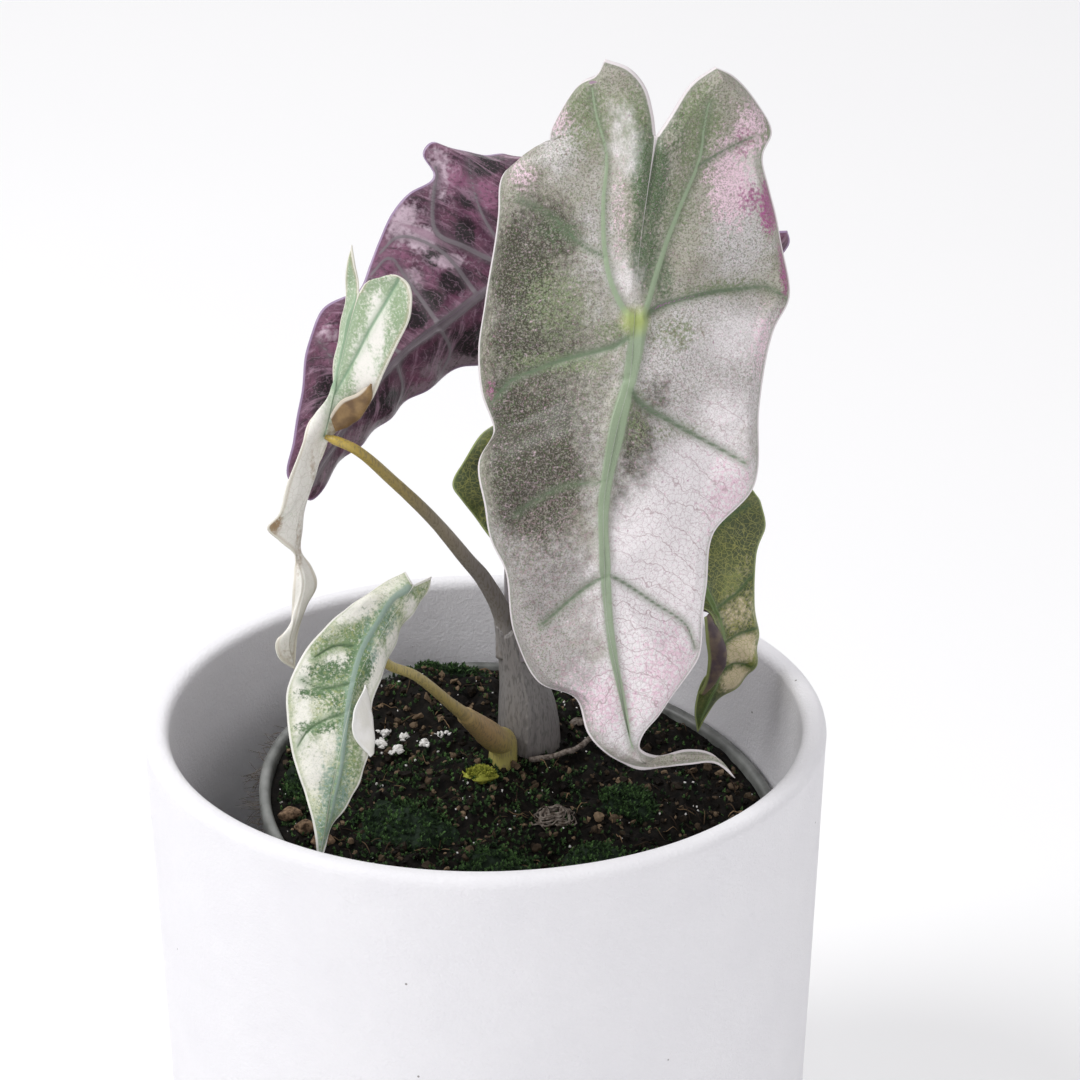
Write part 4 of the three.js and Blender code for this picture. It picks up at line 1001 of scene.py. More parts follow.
def make_leaf(key, rows, lobe_rows, columns):
    """A leaf blade: a thin closed shell with raised or sunken veins, puffed up between them."""
    name = f"blade_{key}"
    outline, look = OUTLINES[key], LOOKS[key]
    points, faces, (across, to_edge, along) = leaf_sheet(outline, rows, lobe_rows, columns)
    view = points[:, [0, 2]]
    normals = point_normals(points, faces)
    count = len(points)

    # What each vein adds. The first values are those of a point that is far from every vein.
    ratio = np.full(count, 20.0)
    furrow = np.full(count, 20.0)
    halo = np.full(count, 5.0)
    clear = np.full(count, 50.0)
    rise = np.zeros(count)
    under = np.zeros(count)
    for line, start_width, end_width, height in look["veins"]:
        smooth = spaced(line, 0, len(line) - 1, 40)
        away, share = nearest(view, smooth)
        width = start_width + (end_width - start_width) * share
        near_end = np.clip((1 - share) * 6, 0, 1)
        profile = np.exp(-((away / (1.15 * width)) ** 2)) * near_end
        rise += height * profile * (width / start_width) ** 0.7
        under = np.maximum(under, profile * width * 0.8)
        if height > 0:
            ratio = np.minimum(ratio, away / width)
        else:
            furrow = np.minimum(furrow, away / width)
        halo = np.minimum(halo, away / (width + 1.3))
        clear = np.minimum(clear, away + 6 * (1 - near_end))

    # The blade puffs up between the veins and waves towards its margin
    fade = np.clip(to_edge / 3, 0, 1)
    quilt = look["quilt"] * (1 - np.exp(-((clear / 5) ** 2))) * fade
    ripple = look["wave"] * across**3 * np.sin(along / rows * 40 + 2 * np.sin(along / rows * 9))
    drift = 0.7 * lumpiness(points, 8, 5) * fade + 0.15 * lumpiness(points, 2.6, 6) * fade
    middle = points + normals * (quilt + ripple + drift)[:, None]

    half = LEAF_THICKNESS / 2 * (1 - 0.45 * np.exp(-((to_edge / 0.8) ** 2)))
    front = middle + normals * (half + rise * np.clip(to_edge / 1.2, 0, 1))[:, None]
    back = middle - normals * (half + 0.6 * under * np.clip(to_edge / 1.2, 0, 1))[:, None]
    solid, shell = closed_shell(front, back, faces)

    # Measures for the skin. Rungs sag towards the tip as they near the margin.
    junction = np.array(outline["midrib"][outline["junction"]])
    glow = np.zeros(count)
    if look["junction_glow"]:
        away = np.linalg.norm(view - junction[[0, 2]], axis=1)
        glow = 0.8 * np.clip(1.2 - away / look["junction_glow"], 0, 1)
    rib_length = np.linalg.norm(np.diff(outline["midrib"], axis=0), axis=1).sum()
    rung = np.where(along > 0, along / rows * rib_length, 0)
    measures = {
        "vein": ratio,
        "furrow": furrow,
        "halo": halo,
        "edge": to_edge,
        "net": patch_strength(view, look["net"]),
        "rung": rung - 7 * across**2 + 40,
        "glow": glow,
        **{tone: patch_strength(view, look["patches"][tone]) for tone in SKINS[key]["tones"]},
    }
    measures = {word: np.tile(values, 2) for word, values in measures.items()}
    finish_of_face = np.zeros(len(shell))
    finish_of_face[len(faces) : 2 * len(faces)] = 1
    finishes = [
        leaf_skin(f"{name} upper skin", SKINS[key]),
        under_skin(f"{name} underside", UNDER_SKINS[key]),
    ]
    make_piece(name, solid, shell, finishes, [name], measures, finish_of_face)


# Where a margin has folded over to the front: the fold's line and its free lip, both from the top down,
# and how far it puffs out between them
FOLDS = {
    "small": {
        "hinge": [(-23.2, -36.6, 47.3), (-22.2, -37.9, 43.4), (-21.6, -40.4, 39.1), (-21.6, -42.7, 35.7)],
        "lip": [(-23.2, -37.4, 47.1), (-25.2, -42, 44), (-25.2, -43.8, 39.9), (-22.2, -43.7, 35.3)],
        "puff": 0.5,
        "colours": ("#f8f6f2", "#eeece4", "#f8f7f4"),
    },
    "twisted": {
        "hinge": [(-21.5, -17.2, 101.6), (-21.5, -16.5, 98.7), (-23, -14.9, 95), (-25.6, -12.5, 91.4),
                  (-28.6, -12.2, 90)],
        "lip": [(-22.6, -17.3, 100.9), (-24.6, -16.2, 99.1), (-27.1, -14.8, 97.5), (-28.6, -14, 95.6),
                (-29.6, -13.6, 93.6)],
        "puff": 0.7,
        "colours": ("#96794f", "#6c5236", "#e6dccb"),
    },
    "low": {
        "hinge": [(46.1, 8.8, 40.6), (49.1, 10.3, 34.4), (50.2, 11.3, 28.6), (48.3, 13.1, 22.9),
                  (46, 14, 19.5)],
        "lip": [(45.2, 7.7, 40.2), (45.7, 8.8, 34.4), (46.3, 10.4, 29.4), (45.9, 12.1, 23.5),
                (44.8, 13.3, 20.1)],
        "puff": 0.6,
        "colours": ("#7a6a58", "#54464a", "#8f9a5c"),
    },
}


def make_fold(key):
    """A folded-over piece of margin: a thin closed sheet between the fold's line and its lip."""
    fold = FOLDS[key]
    rows, columns, half = 60, 24, 0.17
    hinge = spaced(fold["hinge"], 0, len(fold["hinge"]) - 1, rows)
    lip = spaced(fold["lip"], 0, len(fold["lip"]) - 1, rows)
    share = np.linspace(0, 1, columns)
    sheet = hinge[:, None] + (lip - hinge)[:, None] * share[None, :, None]
    reach = np.linalg.norm(lip - hinge, axis=1)[:, None]
    bulge = fold["puff"] * np.sin(np.pi * np.sqrt(share)) * np.clip(reach / 2, 0, 1)
    sheet[:, :, 1] -= bulge
    points = sheet.reshape(-1, 3)
    ids = np.arange(rows * columns).reshape(rows, columns)
    faces = np.stack([ids[:-1, :-1], ids[1:, :-1], ids[1:, 1:], ids[:-1, 1:]], -1).reshape(-1, 4)
    normals = point_normals(points, faces)
    drift = (0.15 * lumpiness(points, 1.8, 17))[:, None]
    solid, shell = closed_shell(points + normals * (half + drift), points + normals * (drift - half), faces)
    to_lip = ((1 - share) * np.maximum(reach, 0.3)).ravel()
    no_vein = np.full(2 * len(points), 9)
    measures = {"vein": no_vein, "edge": np.tile(to_lip, 2)}
    finish = under_skin(f"leaf underside, {key} fold", fold["colours"])
    make_piece(f"fold_{key}", solid, shell, [finish], measures=measures)


# ---------------------------------------------------------------- stalks and stem base

# Points on the way up, radius at even steps, and the side of the leaf that the stalk comes to
STALKS = {
    "front": {
        "foot": (-0.163, 0.58),
        "route": [(6, 24.5, 50), (8, 20, 70), (12.5, 12, 88), (20.5, -1, 103), (28, -15, 113)],
        "side": (0, 0.92, -0.39),
        "radii": [1.9, 1.7, 1.6, 1.4, 1.3],
    },
    "twisted": {
        "foot": (-0.525, -0.109),
        "route": [(-0.2, 18, 44.5), (-3.7, 15, 50.5), (-10, 8, 62), (-18, -3, 75.5), (-25.5, -13.5, 87)],
        "side": (0.4, -0.9, -0.1),
        "radii": [2.3, 1.7, 1.35, 1.15, 0.95],
    },
    "back": {
        "foot": (0.525, 0.254),
        "route": [(11, 26.5, 52), (14, 27.5, 75), (19, 28, 98), (22.5, 29.5, 110)],
        "side": (-0.1, -0.95, -0.3),
        "radii": [1.9, 1.6, 1.4, 1.2],
    },
    "low": {
        "foot": (0.236, -0.507),
        "route": [(12, 20, 46), (18, 16, 61), (23.5, 11, 71.5)],
        "side": (0.1, 0.95, -0.3),
        "radii": [1.6, 1.3, 1.1, 1],
    },
    "small": {
        "bearing": (-5.8, -8.6),
        "route": [(2.4, 13, 9.5), (-1.5, 6, 16.5), (-7, -4, 26.5), (-14, -16, 39), (-19.2, -23, 45)],
        "side": (-0.35, 0.8, -0.5),
        "radii": [3.1, 2.6, 1.6, 1.15, 1.05, 1, 0.9],
        "sheath_end": 0.36,
    },
}

STALK_STEPS = 150
STALK_SIDES = 32

# The stem base's line from the corm up, beside its foot, and its radius there as shares of the widest
STEM_LINE = [(0, 0, CORM_TOP + SEAT_GAP), (0, 0, 3), (-0.2, -0.1, 14), (-1.2, -0.3, 24), (-2.4, -0.7, 32)]
STEM_SHARES = [0.99, 1, 0.95, 0.83, 0.8]
stem_points = np.array(STEM_LINE) + [*STEM_FOOT, rim_level]
stem_top = stem_points[-1]
stem_top_radius = STEM_SHARES[-1] * STEM_RADIUS


def soil_height(x, y):
    """Height of the mix without its lumps: it slopes with the nursery pot's rim and rises at the plant."""
    slope = NURSERY_LEAN[0] * (x - NURSERY_SHIFT[0]) + NURSERY_LEAN[1] * (y - NURSERY_SHIFT[1])
    away = np.hypot(x - SOIL_DOME_CENTRE[0], y - SOIL_DOME_CENTRE[1])
    dome = SOIL_DOME * np.exp(-(away**2) / (2 * SOIL_DOME_SPREAD**2))
    return rim_level - SOIL_BELOW_RIM + slope + dome


def make_stalk(key, codes):
    """A grooved leaf stalk, from inside the sheaths or from the mix up to its leaf."""
    name = f"stalk_{key}"
    stalk = STALKS[key]
    route = [np.array(point) + (0, 0, rim_level) for point in stalk["route"]]
    if "bearing" in stalk:
        bearing = np.array(stalk["bearing"]) / np.hypot(*stalk["bearing"])
        place = STEM_FOOT + bearing * (STEM_RADIUS + SEAT_GAP + stalk["radii"][0])
        foot = np.array([*place, soil_height(*place)])
        route = [foot - (0, 0, 2.5), foot + (0, 0, 3.6), *route]
    else:
        offset = np.array([*stalk["foot"], 0]) * stem_top_radius
        foot = stem_top + offset
        route = [foot - (-0.5, 0, 7), foot + (0, 0, 1.5), *route]
    junction = np.array(OUTLINES[key]["midrib"][OUTLINES[key]["junction"]]) + (0, 0, rim_level)
    away = np.array(stalk["side"]) / np.linalg.norm(stalk["side"])
    route.append(junction + away * 0.6)
    line = spaced(route, 0, len(route) - 1, STALK_STEPS)
    along = np.linspace(0, 1, STALK_STEPS)
    radii = np.interp(along, np.linspace(0, 1, len(stalk["radii"])), stalk["radii"])
    radii = radii * (1 - 0.5 * np.exp(-((1 - along) / 0.015) ** 2))
    radii = radii + 0.35 * (along < stalk.get("sheath_end", 0)) * np.clip(along * 5, 0, 1)
    angles = circle(STALK_SIDES)
    groove = 1 - 0.09 * np.exp(-(((angles - 1.5) / 0.5) ** 2))
    bumps = 1 + 0.02 * lumpiness(line, 3, 21)
    swell = groove[None, :] * bumps[:, None]
    points, faces = capped_loft(carried_rings(line, radii, STALK_SIDES, swell))
    measures = {"along": np.r_[np.repeat(along, STALK_SIDES), 0, 1]}
    finish = stalk_skin(f"{name} skin", codes, "#6f6658", 0.5)
    make_piece(name, points, faces, [finish], [name], measures)


def make_stem_base():
    """The clasped leaf sheaths: a ribbed column with three overlapping edges and a torn collar on top."""
    sides, count = 160, 120
    line = spaced(stem_points, 0, len(stem_points) - 1, count)
    height = np.linspace(0, 1, count)
    radii = np.interp(height, np.linspace(0, 1, len(STEM_SHARES)), STEM_SHARES) * STEM_RADIUS
    angles = circle(sides)
    around, up = np.meshgrid(angles, height)
    rib_place = np.stack([np.cos(around) * 9, np.sin(around) * 9, up * 2.2], -1).reshape(-1, 3)
    ribs = lumpiness(rib_place, 0.55, 31).reshape(around.shape)
    folds = lumpiness(rib_place, 2.6, 32).reshape(around.shape)
    overlap = np.zeros_like(around)
    for start, turn in ((3.9, 0.9), (5.9, -0.7), (1.6, 0.5)):
        past = (around - start - turn * up) % (2 * np.pi)
        overlap += 0.5 * np.exp(-past / 0.55)
    swell = 1 + (0.16 * ribs + 0.3 * folds + overlap - 0.25) / STEM_RADIUS
    close = np.clip((up - 0.35) / 0.65, 0, 1) ** 1.4
    swell *= 1 - 0.48 * close
    rings = carried_rings(line, radii, sides, swell)
    rings += close[:, :, None] * [-2.2, -0.4, 0]
    collar = 1.6 * np.sin(around * 2 + 1) + 0.8 * folds
    rings[:, :, 2] += collar * np.clip((up - 0.7) / 0.3, 0, 1)
    points, faces = capped_loft(rings)
    measures = {"along": np.r_[np.repeat(height, sides), 0, 1]}
    finish = stalk_skin("sheath skin", ["#6e655c", "#807c7a", "#8c8987", "#8f8b88"], "#5f5c5b", 0.6)
    make_piece("stem_base", points, faces, [finish], ["stem_base"], measures)


# ---------------------------------------------------------------- pots


def arc(x, y, radius, start, end, steps):
    """Points on part of a circle, both ends included."""
    angles = np.linspace(start, end, steps + 1)
    return np.stack([x + radius * np.cos(angles), y + radius * np.sin(angles)], 1)


def outside_radius(height):
    """The cachepot's outside radius at a height above the table."""
    return RIM_RADIUS - POT_TAPER * (POT_HEIGHT - height)


def make_cachepot():
    """A turned pot with a thick round-edged rim and a small foot ring, its wall not perfectly true."""
    quarter = math.pi / 2
    rim_centre = POT_HEIGHT - RIM_ROUND
    foot_radius = outside_radius(FOOT_ROUND) - FOOT_ROUND
    low = np.linspace(FOOT_ROUND, rim_centre, 60)[1:-1]
    wall = np.linspace(rim_centre, POT_FLOOR + POT_FLOOR_ROUND, 50)[1:]
    corner_radius = outside_radius(POT_FLOOR) - POT_WALL - POT_FLOOR_ROUND
    profile = np.vstack([
        [(0.5, POT_FOOT_RECESS), (foot_radius - 6, POT_FOOT_RECESS), (foot_radius - 5, 0)],
        arc(foot_radius, FOOT_ROUND, FOOT_ROUND, -quarter, 0, 8),
        np.stack([outside_radius(low), low], 1),
        arc(RIM_RADIUS - RIM_ROUND, rim_centre, RIM_ROUND, 0, quarter, 10),
        arc(RIM_RADIUS - POT_WALL + RIM_ROUND, rim_centre, RIM_ROUND, quarter, 2 * quarter, 10),
        np.stack([outside_radius(wall) - POT_WALL, wall], 1),
        arc(corner_radius, POT_FLOOR + POT_FLOOR_ROUND, POT_FLOOR_ROUND, 0, -quarter, 6)[1:],
        [(30, POT_FLOOR), (0.5, POT_FLOOR)],
    ])
    sides = 256
    angles = circle(sides)
    rings = np.stack([
        profile[:, 0][:, None] * np.cos(angles),
        profile[:, 0][:, None] * np.sin(angles),
        np.broadcast_to(profile[:, 1][:, None], (len(profile), sides)),
    ], -1)
    flat = rings.reshape(-1, 3)
    radial = flat * [1, 1, 0]
    radial /= np.linalg.norm(radial, axis=1)[:, None]
    untrue = 0.05 * lumpiness(flat, 16, 41) + 0.02 * lumpiness(flat, 5, 42) - 0.07
    keep_clear = np.hypot(flat[:, 0], flat[:, 1]) > 50
    rings = (flat + radial * (untrue * keep_clear)[:, None]).reshape(rings.shape)
    points, faces = capped_loft(rings)
    make_piece("cachepot", points, faces, [matt_ceramic()], ["cachepot"])


def nursery_points(angles, height, inset):
    """A ring of the squeezed nursery pot's side: height is above its foot, inset is from its outside."""
    share = height / nursery_height
    band_radius = nursery_rim_radius - NURSERY_LIP
    radius = NURSERY_BASE_RADIUS + (band_radius - NURSERY_BASE_RADIUS) * share - inset
    x, y = radius * np.cos(angles), radius * np.sin(angles)
    rise = (NURSERY_LEAN[0] * x + NURSERY_LEAN[1] * y) * share**2
    return np.stack([
        NURSERY_SHIFT[0] * share + x, NURSERY_SHIFT[1] * share + y, NURSERY_FOOT + height + rise,
    ], -1)


def make_nursery_pot():
    """A thin pot with a rolled band round its rim and drain holes in its floor."""
    sides = 240
    angles = circle(sides)
    band_foot = nursery_height - NURSERY_LIP_HEIGHT
    steps = np.linspace(0, band_foot, 24)
    lip = [(band_foot, -0.2), (band_foot + 0.3, -NURSERY_LIP + 0.1), (band_foot + 1, -NURSERY_LIP),
           (nursery_height - 1.1, -NURSERY_LIP), (nursery_height - 0.4, -NURSERY_LIP + 0.1),
           (nursery_height, -NURSERY_LIP + 0.5), (nursery_height, NURSERY_WALL - 0.6),
           (nursery_height - 0.3, NURSERY_WALL - 0.15), (nursery_height - 0.9, NURSERY_WALL)]
    outside_holes = DRAIN_RING_RADIUS + DRAIN_HOLE_RADIUS + 2
    inside_holes = DRAIN_RING_RADIUS - DRAIN_HOLE_RADIUS - 2
    rings = [nursery_points(angles, height, 0) for height in steps]
    rings += [nursery_points(angles, height, inset) for height, inset in lip]
    rings += [nursery_points(angles, height, NURSERY_WALL) for height in steps[:0:-1]]
    rings.append(nursery_points(angles, NURSERY_WALL, NURSERY_WALL))
    for radius in (outside_holes, inside_holes, 3):
        rings.append(nursery_points(angles, NURSERY_WALL, NURSERY_BASE_RADIUS - radius))
    for radius in (3, inside_holes, outside_holes):
        rings.append(nursery_points(angles, 0, NURSERY_BASE_RADIUS - radius))
    rings = np.array(rings)
    flat = rings.reshape(-1, 3)
    radial = (flat - [*NURSERY_SHIFT, 0]) * [1, 1, 0]
    radial /= np.maximum(np.linalg.norm(radial, axis=1), 1)[:, None]
    flat = flat + radial * (0.12 * lumpiness(flat, 14, 51) - 0.12)[:, None]
    faces = ring_faces(len(rings), sides, closed_rows=True)
    piece = make_piece("nursery_pot", flat, outward(flat, faces), [thin_polypropylene()],
                       ["nursery_pot"])
    drill_holes(piece)


def drill_holes(piece):
    """Cuts the ring of drain holes out of the pot's floor."""
    shape = bmesh.new()
    for i in range(DRAIN_HOLES):
        angle = 2 * math.pi * i / DRAIN_HOLES
        made = bmesh.ops.create_cone(
            shape, cap_ends=True, segments=48, radius1=DRAIN_HOLE_RADIUS * MM,
            radius2=DRAIN_HOLE_RADIUS * MM, depth=6 * NURSERY_WALL * MM,
        )
        place = Vector((DRAIN_RING_RADIUS * math.cos(angle), DRAIN_RING_RADIUS * math.sin(angle),
                        NURSERY_FOOT + NURSERY_WALL / 2)) * MM
        bmesh.ops.translate(shape, verts=made["verts"], vec=place)
    drills = bpy.data.meshes.new("drills")
    shape.to_mesh(drills)
    shape.free()
    tool = bpy.data.objects.new("drills", drills)
    bpy.context.scene.collection.objects.link(tool)
    cut = piece.modifiers.new("drain holes", "BOOLEAN")
    cut.operation, cut.object, cut.solver = "DIFFERENCE", tool, "EXACT"
    bpy.context.view_layer.update()
    drilled = bpy.data.meshes.new_from_object(
        piece.evaluated_get(bpy.context.evaluated_depsgraph_get())
    )
    piece.modifiers.clear()
    piece.data = drilled
    bpy.data.objects.remove(tool)


# ---------------------------------------------------------------- potting mix

# Middle, reach and height of the heaps that the mix lies in
MIX_HEAPS = [
    ((-15, 40), 10, 5),
    ((1, 42), 8, 3),
    ((-30, 22), 9, 1.6),
    ((22, 39), 9, 1.8),
    ((-30, -8), 9, 1),
]


def mix_lumps(points):
    """How far the mix's real surface stands above its smooth one."""
    flat = np.asarray(points) * [1, 1, 0]
    lumps = (
        1.0 * lumpiness(flat, 7, 61) + 1.0 * lumpiness(flat, 3.2, 62)
        + 0.6 * lumpiness(flat, 1.5, 63) + 0.3 * lumpiness(flat, 0.8, 64)
    )
    for (x, y), reach, high in MIX_HEAPS:
        away = np.hypot(flat[:, 0] - x, flat[:, 1] - y)
        lumps = lumps + high * np.exp(-((away / reach) ** 2))
    return lumps


def mix_top(x, y):
    """Height of the mix's real, lumpy surface."""
    points = np.stack([np.ravel(x), np.ravel(y), np.zeros(np.size(x))], 1)
    return soil_height(points[:, 0], points[:, 1]) + mix_lumps(points)


def mix_edge(angles):
    """Where the mix's top meets the nursery pot."""
    return nursery_points(angles, nursery_height - SOIL_BELOW_RIM, NURSERY_WALL + SEAT_GAP)


def make_potting_mix(finish):
    """The body of peat: its top is lumpy, and it fills the nursery pot down to the floor."""
    sides, count = 300, 96
    angles = circle(sides)
    share = np.linspace(1, 0.012, count)[:, None, None]
    edge = mix_edge(angles)
    centre = np.array([*NURSERY_SHIFT, 0])
    top = centre + (edge - centre) * share
    flat = top.reshape(-1, 3)
    height = mix_top(flat[:, 0], flat[:, 1]).reshape(count, sides)
    settle = np.clip((1 - share[:, :, 0]) / 0.05, 0, 1)
    base = soil_height(top[:, :, 0], top[:, :, 1])
    top[:, :, 2] = base + (height - base) * (0.3 + 0.7 * settle)
    inset = NURSERY_WALL + SEAT_GAP
    side_heights = np.linspace(inset, nursery_height - SOIL_BELOW_RIM - 2, 20)
    side = [nursery_points(angles, side_height, inset) for side_height in side_heights]
    points, faces = capped_loft(np.concatenate([side, top]))
    make_piece("potting_mix", points, faces, [finish], ["potting_mix"])


def scatter(count, keep=None):
    """Random places on the mix, inside the nursery pot and clear of the stem."""
    found = []
    while len(found) < count:
        angle, reach = random.uniform(0, 2 * math.pi), math.sqrt(random.uniform(0, 1))
        edge = mix_edge(np.array([angle]))[0]
        place = NURSERY_SHIFT + (edge[:2] - NURSERY_SHIFT) * reach * 0.975
        if np.hypot(*(place - STEM_FOOT)) < STEM_RADIUS + 0.6:
            continue
        if keep is None or random.uniform() < keep(place):
            found.append(place)
    return np.array(found)


def make_crumbs(finish):
    """Loose crumbs and bark grains of many sizes, half sunk in the mix."""
    round_points, round_faces = ball(2)
    solids, shades = [], []
    for i, place in enumerate(scatter(2100)):
        size = 0.3 + 1.1 * random.beta(1, 4.5)
        stretch = random.uniform(0.5, 1.4, 3)
        rough = 1 + 0.6 * lumpiness(round_points * 1.1 + i * 7.3, 0.7, 71)
        turn = random.normal(size=(3, 3))
        turn, _ = np.linalg.qr(turn)
        shape = (round_points * rough[:, None] * stretch) @ turn.T * size
        height = mix_top(*place)[0] + size * random.uniform(-0.25, 0.45)
        solids.append((shape + [*place, height], outward(shape, round_faces)))
        shades.append(np.full(len(shape), random.uniform() ** 3.2))
    points, faces = join_solids(solids)
    make_piece("peat_crumbs", points, faces, [finish],
               measures={"shade": np.concatenate(shades)}, smooth=False)


def make_grit(finish):
    """Perlite dust and sand, scattered singly."""
    solids = []
    for i, place in enumerate(scatter(240)):
        size = random.uniform(0.12, 0.34)
        round_points, faces = ball(1)
        rough = 1 + 0.5 * lumpiness(round_points + i * 3.3, 0.7, 93)
        shape = round_points * rough[:, None] * random.uniform(0.6, 1.3, 3) * size
        solids.append((shape + [*place, mix_top(*place)[0] + 0.6 * size], outward(shape, faces)))
    points, faces = join_solids(solids)
    make_piece("grit", points, faces, [finish], smooth=False)


def thin_tube(line, radius, sides=5, taper=0.5):
    """Points and triangles of a closed thread that is thinner at its ends."""
    share = np.linspace(0, 1, len(line))
    radii = radius * (1 - taper * np.abs(2 * share - 1) ** 2)
    points, faces = capped_loft(carried_rings(line, radii, sides))
    return points, np.vstack([corner_triangles(part) for part in faces])


def make_fibres(finish):
    """Peat fibres and fine dead roots lying every way across the surface."""
    solids, shades = [], []
    for place in scatter(260):
        length, angle = random.uniform(1.5, 6), random.uniform(0, 2 * math.pi)
        steps = np.linspace(-0.5, 0.5, 7)
        bend = random.normal() * 0.22
        x = place[0] + length * (steps * math.cos(angle) - bend * steps**2 * math.sin(angle))
        y = place[1] + length * (steps * math.sin(angle) + bend * steps**2 * math.cos(angle))
        inside = np.hypot(x - NURSERY_SHIFT[0], y - NURSERY_SHIFT[1]) < nursery_rim_radius - 5
        if not inside.all():
            continue
        z = mix_top(x, y) + 0.25 + random.uniform(0, 0.9) * (1 - 4 * steps**2)
        solids.append(thin_tube(np.stack([x, y, z], 1), random.uniform(0.06, 0.16)))
        shades.append(np.full(len(solids[-1][0]), random.uniform() ** 3))
    points, faces = join_solids(solids)
    make_piece("peat_fibres", points, faces, [finish],
               measures={"shade": np.concatenate(shades)})


def spindles(bases, directions, lengths, widths):
    """Tiny leaflets: each is a closed three-sided spindle that is fattest a third of the way up."""
    count = len(bases)
    directions = directions / np.linalg.norm(directions, axis=1)[:, None]
    helper = np.where(np.abs(directions[:, 2:]) > 0.9, [[1.0, 0, 0]], [[0, 0, 1.0]])
    side = np.cross(directions, helper)
    side /= np.linalg.norm(side, axis=1)[:, None]
    other = np.cross(directions, side)
    middle = bases + directions * lengths[:, None] * 0.35
    rows = [bases]
    for angle in (0, 2.1, 4.2):
        rows.append(middle + widths[:, None] * (math.cos(angle) * side + math.sin(angle) * other))
    rows.append(bases + directions * lengths[:, None])
    points = np.stack(rows, 1).reshape(-1, 3)
    pattern = np.array([(0, 2, 1), (0, 3, 2), (0, 1, 3), (4, 1, 2), (4, 2, 3), (4, 3, 1)])
    faces = (pattern[None] + 5 * np.arange(count)[:, None, None]).reshape(-1, 3)
    return points, outward(points, faces)


def moss_shoots(places, heights, shoot_height):
    """Leaflets round many short shoots, pointing up and out."""
    bases, directions, lengths, widths, shades = [], [], [], [], []
    for place, ground in zip(places, heights):
        lean = random.normal(size=2) * 0.5
        tall = shoot_height * random.uniform(0.5, 1.3)
        shade = random.uniform() ** 3.5
        for turn in range(9):
            share = turn / 8
            angle = turn * 2.4 + random.uniform(0, 0.5)
            bases.append([place[0] + lean[0] * share * tall, place[1] + lean[1] * share * tall,
                          ground + share * tall])
            out = 1.3 - 0.8 * share
            directions.append([lean[0] + out * math.cos(angle), lean[1] + out * math.sin(angle),
                               0.35 + 0.9 * share])
            lengths.append(random.uniform(0.4, 0.75))
            widths.append(random.uniform(0.13, 0.21))
            shades.append(np.clip(shade * 0.8 + share * 0.2 + random.uniform(-0.1, 0.1), 0, 1))
    made = spindles(np.array(bases), np.array(directions), np.array(lengths), np.array(widths))
    return (*made, np.repeat(shades, 5))


def oval_places(middle, wide, deep, count, spread=1):
    """Random places in an oval, and how far out each one is: 0 in the middle, 1 at its edge."""
    angles = random.uniform(0, 2 * math.pi, count)
    reach = np.sqrt(random.uniform(0, 1, count)) * spread
    away = np.stack([wide * reach * np.cos(angles), deep * reach * np.sin(angles)], 1)
    return middle + away, reach


# Middle, and half sizes across, deep and high
MOSS_CUSHIONS = [
    ((-17, -8), (10, 7.5, 2.6)),
    ((3, -21), (9, 7, 2.2)),
    ((-37, 5), (5.5, 8, 2.4)),
    ((24, -16), (8, 7, 2.2)),
    ((-9, 46.5), (9, 4.5, 2.6)),
    ((30, 6), (6, 5, 1.8)),
]


def make_moss(finish):
    """Low moss cushions: shoots crowd on a lumpy mat, and thin out over the rest of the mix."""
    for i, ((x, y), (wide, deep, high)) in enumerate(MOSS_CUSHIONS):
        mat_points, mat_faces = ball(4)
        mat = mat_points * [wide, deep, high * 0.8]
        mat = mat * (1 + 0.22 * lumpiness(mat_points + i * 5.1, 0.5, 81))[:, None] + [x, y, 0]
        ground = soil_height(mat[:, 0], mat[:, 1])
        mat[:, 2] = np.maximum(mat[:, 2] - 0.3 + mix_lumps(mat) * 0.9, -1.6) + ground
        places, reach = oval_places((x, y), wide, deep, 330, 1.02)
        lift = high * 0.75 * np.sqrt(np.clip(1 - reach**2, 0, 1)) - 0.3
        lumps = 0.9 * mix_lumps(np.c_[places, np.zeros(len(places))])
        grounds = soil_height(places[:, 0], places[:, 1]) + lift + lumps
        shoot_points, shoot_faces, shades = moss_shoots(places, grounds, 0.7)
        points, faces = join_solids([(mat, outward(mat, mat_faces)), (shoot_points, shoot_faces)])
        node = f"moss_cushion_{i + 1}"
        make_piece(node, points, faces, [finish], [node],
                   {"shade": np.r_[np.full(len(mat), 0.05), shades]}, smooth=False)
    places = scatter(3300, keep=lambda place: 0.95 if place[0] < 20 and place[1] < 20 else 0.3)
    grounds = mix_top(places[:, 0], places[:, 1]) - 0.1
    points, faces, shades = moss_shoots(places, grounds, 0.55)
    make_piece("moss_shoots", points, faces, [finish], measures={"shade": shades}, smooth=False)


# ---------------------------------------------------------------- bits on the mix

# Middle, and half sizes across, deep and high
PERLITE_GRAINS = [
    ((-22.7, 19.2), (1.8, 1.6, 1.5)),
    ((-18.8, 16.8), (1.9, 1.4, 1.4)),
    ((-21.8, 23.3), (1.6, 1.6, 1.4)),
    ((-13.4, 18.4), (1.5, 1.4, 1.3)),
    ((-10, 21.2), (1.7, 1.4, 1.3)),
    ((-17.2, 21.4), (1.7, 1.5, 1.4)),
]
CLAY_BITS = [
    ((-40.5, -7.5), (2.4, 1.8, 1.7)),
    ((-37.5, -11.8), (2.2, 1.9, 1.6)),
    ((-33.5, -15.5), (2.4, 1.7, 1.5)),
    ((-20.7, 40), (2, 1.8, 2.2)),
]


